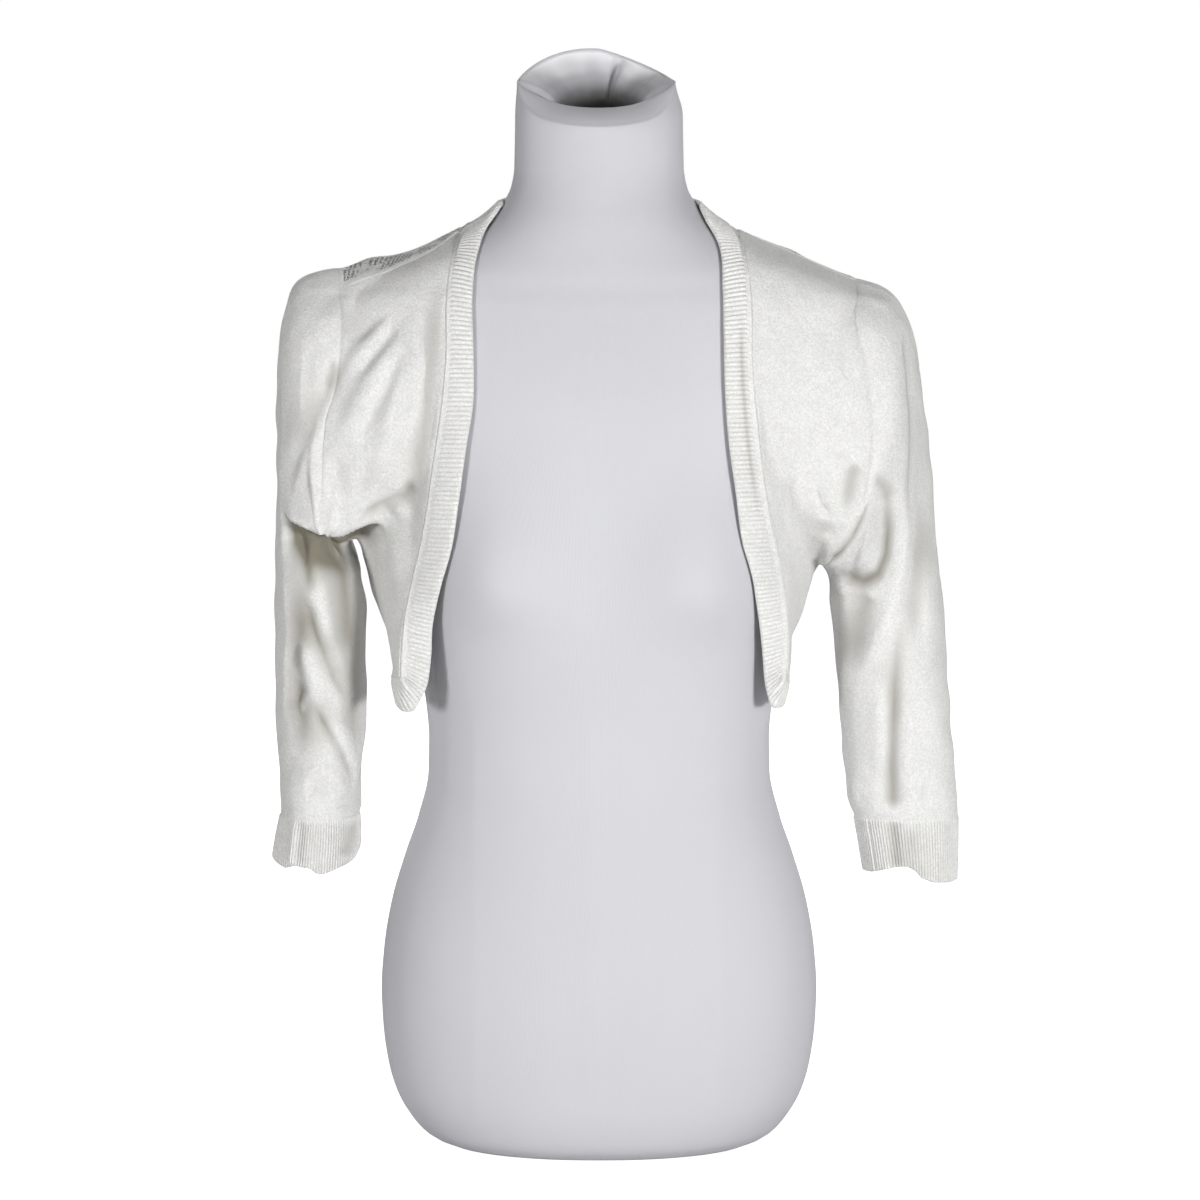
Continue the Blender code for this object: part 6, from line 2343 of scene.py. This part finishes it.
    def rings(self) -> tuple[Array, Array]:
        """All rings from the base up, over the rolled lip and down into the hole.

        Returns:
            The rings, and their painted shading: above 0 painted shade, below 0 a painted highlight where the
                cover catches light.
        """
        turn = 2 * math.pi * (np.arange(self.segments) + 0.5) / self.segments
        sine = np.sin(turn)
        front = rise(-sine, *self.front_from)[:, None]
        torso, collar = self.torso(turn), self.collar(turn, front)
        funnel, tones = self.funnel(collar[-1], turn)
        rings = torso + collar + funnel
        top, edge = len(torso + collar), len(rings)
        rings += self.below(rings[-1])
        plain = np.zeros_like(turn)
        # painted shade of the creases, only in the funnel
        tucked = np.stack([plain] * top + tones + [plain] * (len(rings) - edge))
        step = np.arange(len(rings))[:, None]
        side = np.clip(np.abs(np.cos(turn)) - 0.25, 0, 1)[None, :]
        # painted shade that grows towards the hole and is darkest down in it
        dark = 0.35 * rise(step, top + 14 + 7 * side, edge + 1) + 0.65 * rise(step, edge - 6, edge + 3)
        # painted highlight on the back of the tucked cover, where it catches light
        behind = np.clip(sine + 0.35, 0, 1)[None, :]
        pale = rise(step, top - 2, top + 1) * (1 - rise(step, top + 10, edge - 5)) * behind
        dark = dark + tucked - pale * (1 - tucked * 4)
        # the result adds a band of painted shade under the front's roll
        rim = len(torso) + len(self.collar_shares) - 1
        return np.stack(rings), dark + 0.16 * front.T * bell(step - rim, 3.0)

    def build(self) -> None:
        """Make the form and dress it in its cover."""
        rings, dark = self.rings()
        mesh = MeshBuilder()
        index = mesh.add(rings, dark)
        closed = np.concatenate([index, index[:, :1]], axis=1)
        u = np.linspace(0, self.girth, self.segments + 1)[None, :]
        v = spans(rings, 0).mean(axis=1)[:, None]
        mesh.sheet(closed, np.stack(np.broadcast_arrays(u, v), axis=-1))
        mesh.caps = [index[0][::-1], index[-1]]
        item = mesh.make("dress_form_cover", CoverFinish().material("form_cover_finish"), 60.0)
        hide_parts("dress_form")


# ---------------------------------------------------------------- the studio
@dataclass(frozen=True)
class SoftBox:
    """A square soft light."""

    name: str
    place: Triple
    aim: Triple
    size: float
    power: float

    def build(self) -> None:
        """Hang the light."""
        light = bpy.data.lights.new(self.name, "AREA")
        light.shape, light.size, light.energy = "SQUARE", self.size, self.power
        lamp = bpy.data.objects.new(self.name, light)
        lamp.visible_camera = False
        lamp.location = self.place
        towards = Vector(self.aim) - Vector(self.place)
        lamp.rotation_euler = towards.to_track_quat("-Z", "Y").to_euler()
        bpy.context.collection.objects.link(lamp)


@dataclass(frozen=True)
class Studio:
    """Pale floor, soft white surroundings, soft boxes and the camera."""

    aim: Triple = (0.0007, 0.0, 0.397)
    distance: float = 2.6
    pitch: float = 6.0
    lens: float = 108.33
    sensor: float = 36.0
    # the soft lights
    boxes: tuple[SoftBox, ...] = (
        SoftBox("key_light", (1.72, -2.5, 0.55), (0, 0, 0.45), 0.5, 62),
        SoftBox("fill_light", (-1.9, -2.38, 0.55), (0, 0, 0.45), 0.5, 37),
        SoftBox("back_light", (0, 2.3, 1.9), (0, 0, 0.5), 0.8, 42),
    )
    floor_radius: float = 14.0
    floor_sides: int = 96
    floor_level: float = -0.0004
    floor_tones: Pair = (0.64, 0.62)  # its two tones, linear
    # heights of a direction between which the surroundings darken, and both strengths
    overhead: tuple[float, ...] = (0.05, 0.75, 0.42, 0.07)
    ahead: tuple[float, ...] = (-0.6, 0.6, 1.0, 0.5)  # the same from the front to the back

    def build(self) -> None:
        """Set everything up."""
        self.camera()
        self.floor()
        self.surroundings()
        for box in self.boxes:
            box.build()

    def camera(self) -> None:
        """Look along +Y and a little down."""
        lens = bpy.data.cameras.new("camera")
        lens.lens, lens.sensor_width = self.lens, self.sensor
        camera = bpy.data.objects.new("camera", lens)
        down = math.radians(self.pitch)
        offset = Vector((0, -math.cos(down), math.sin(down))) * self.distance
        camera.location = Vector(self.aim) + offset
        camera.rotation_euler = (math.pi / 2 - down, 0, 0)
        bpy.context.collection.objects.link(camera)
        bpy.context.scene.camera = camera

    def floor(self) -> None:
        """A wide round floor that the camera sees white."""
        mesh = bpy.data.meshes.new("floor")
        turn = np.linspace(0, 2 * math.pi, self.floor_sides, endpoint=False)
        x, y = self.floor_radius * np.cos(turn), self.floor_radius * np.sin(turn)
        ring = np.stack([x, y, np.full_like(turn, self.floor_level)], axis=1)
        mesh.from_pydata(ring.tolist(), [], [list(range(self.floor_sides))])
        g = Graph("floor_finish")
        light, dark = ((tone,) * 3 for tone in self.floor_tones)
        g.join(g.mix(g.noise(3.0), light, dark), g.shader.inputs["Base Color"])
        g.shader.inputs["Roughness"].default_value = 0.9
        g.shader.inputs["Specular IOR Level"].default_value = 0.1
        g.shader.inputs["Emission Color"].default_value = (1, 1, 1, 1)
        g.join(g.seen(), g.shader.inputs["Emission Strength"])
        mesh.materials.append(g.material)
        item = bpy.data.objects.new("floor", mesh)
        bpy.context.collection.objects.link(item)

    def surroundings(self) -> None:
        """White behind the object; its own light comes mostly from the sides and the front."""
        world = bpy.data.worlds.new("studio")
        world.use_nodes = True
        g = Nodes(world.node_tree)
        _, y, z = g.parts(g.tree.nodes.new("ShaderNodeTexCoord").outputs["Generated"])
        light = g.times(g.span(z, *self.overhead), g.span(y, *self.ahead))
        background = g.tree.nodes["Background"]
        g.join(g.math("MAXIMUM", light, g.seen()), background.inputs["Strength"])
        background.inputs["Color"].default_value = (1, 1, 1, 1)
        bpy.context.scene.world = world


def main() -> None:
    """Load the frame, make every piece and light it."""
    logging.basicConfig(level=logging.INFO, format="%(name)s: %(message)s")
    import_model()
    DressForm().build()
    Shrug().build()
    Studio().build()
    bpy.context.scene.view_settings.view_transform = "Standard"


if __name__ == "__main__":
    main()
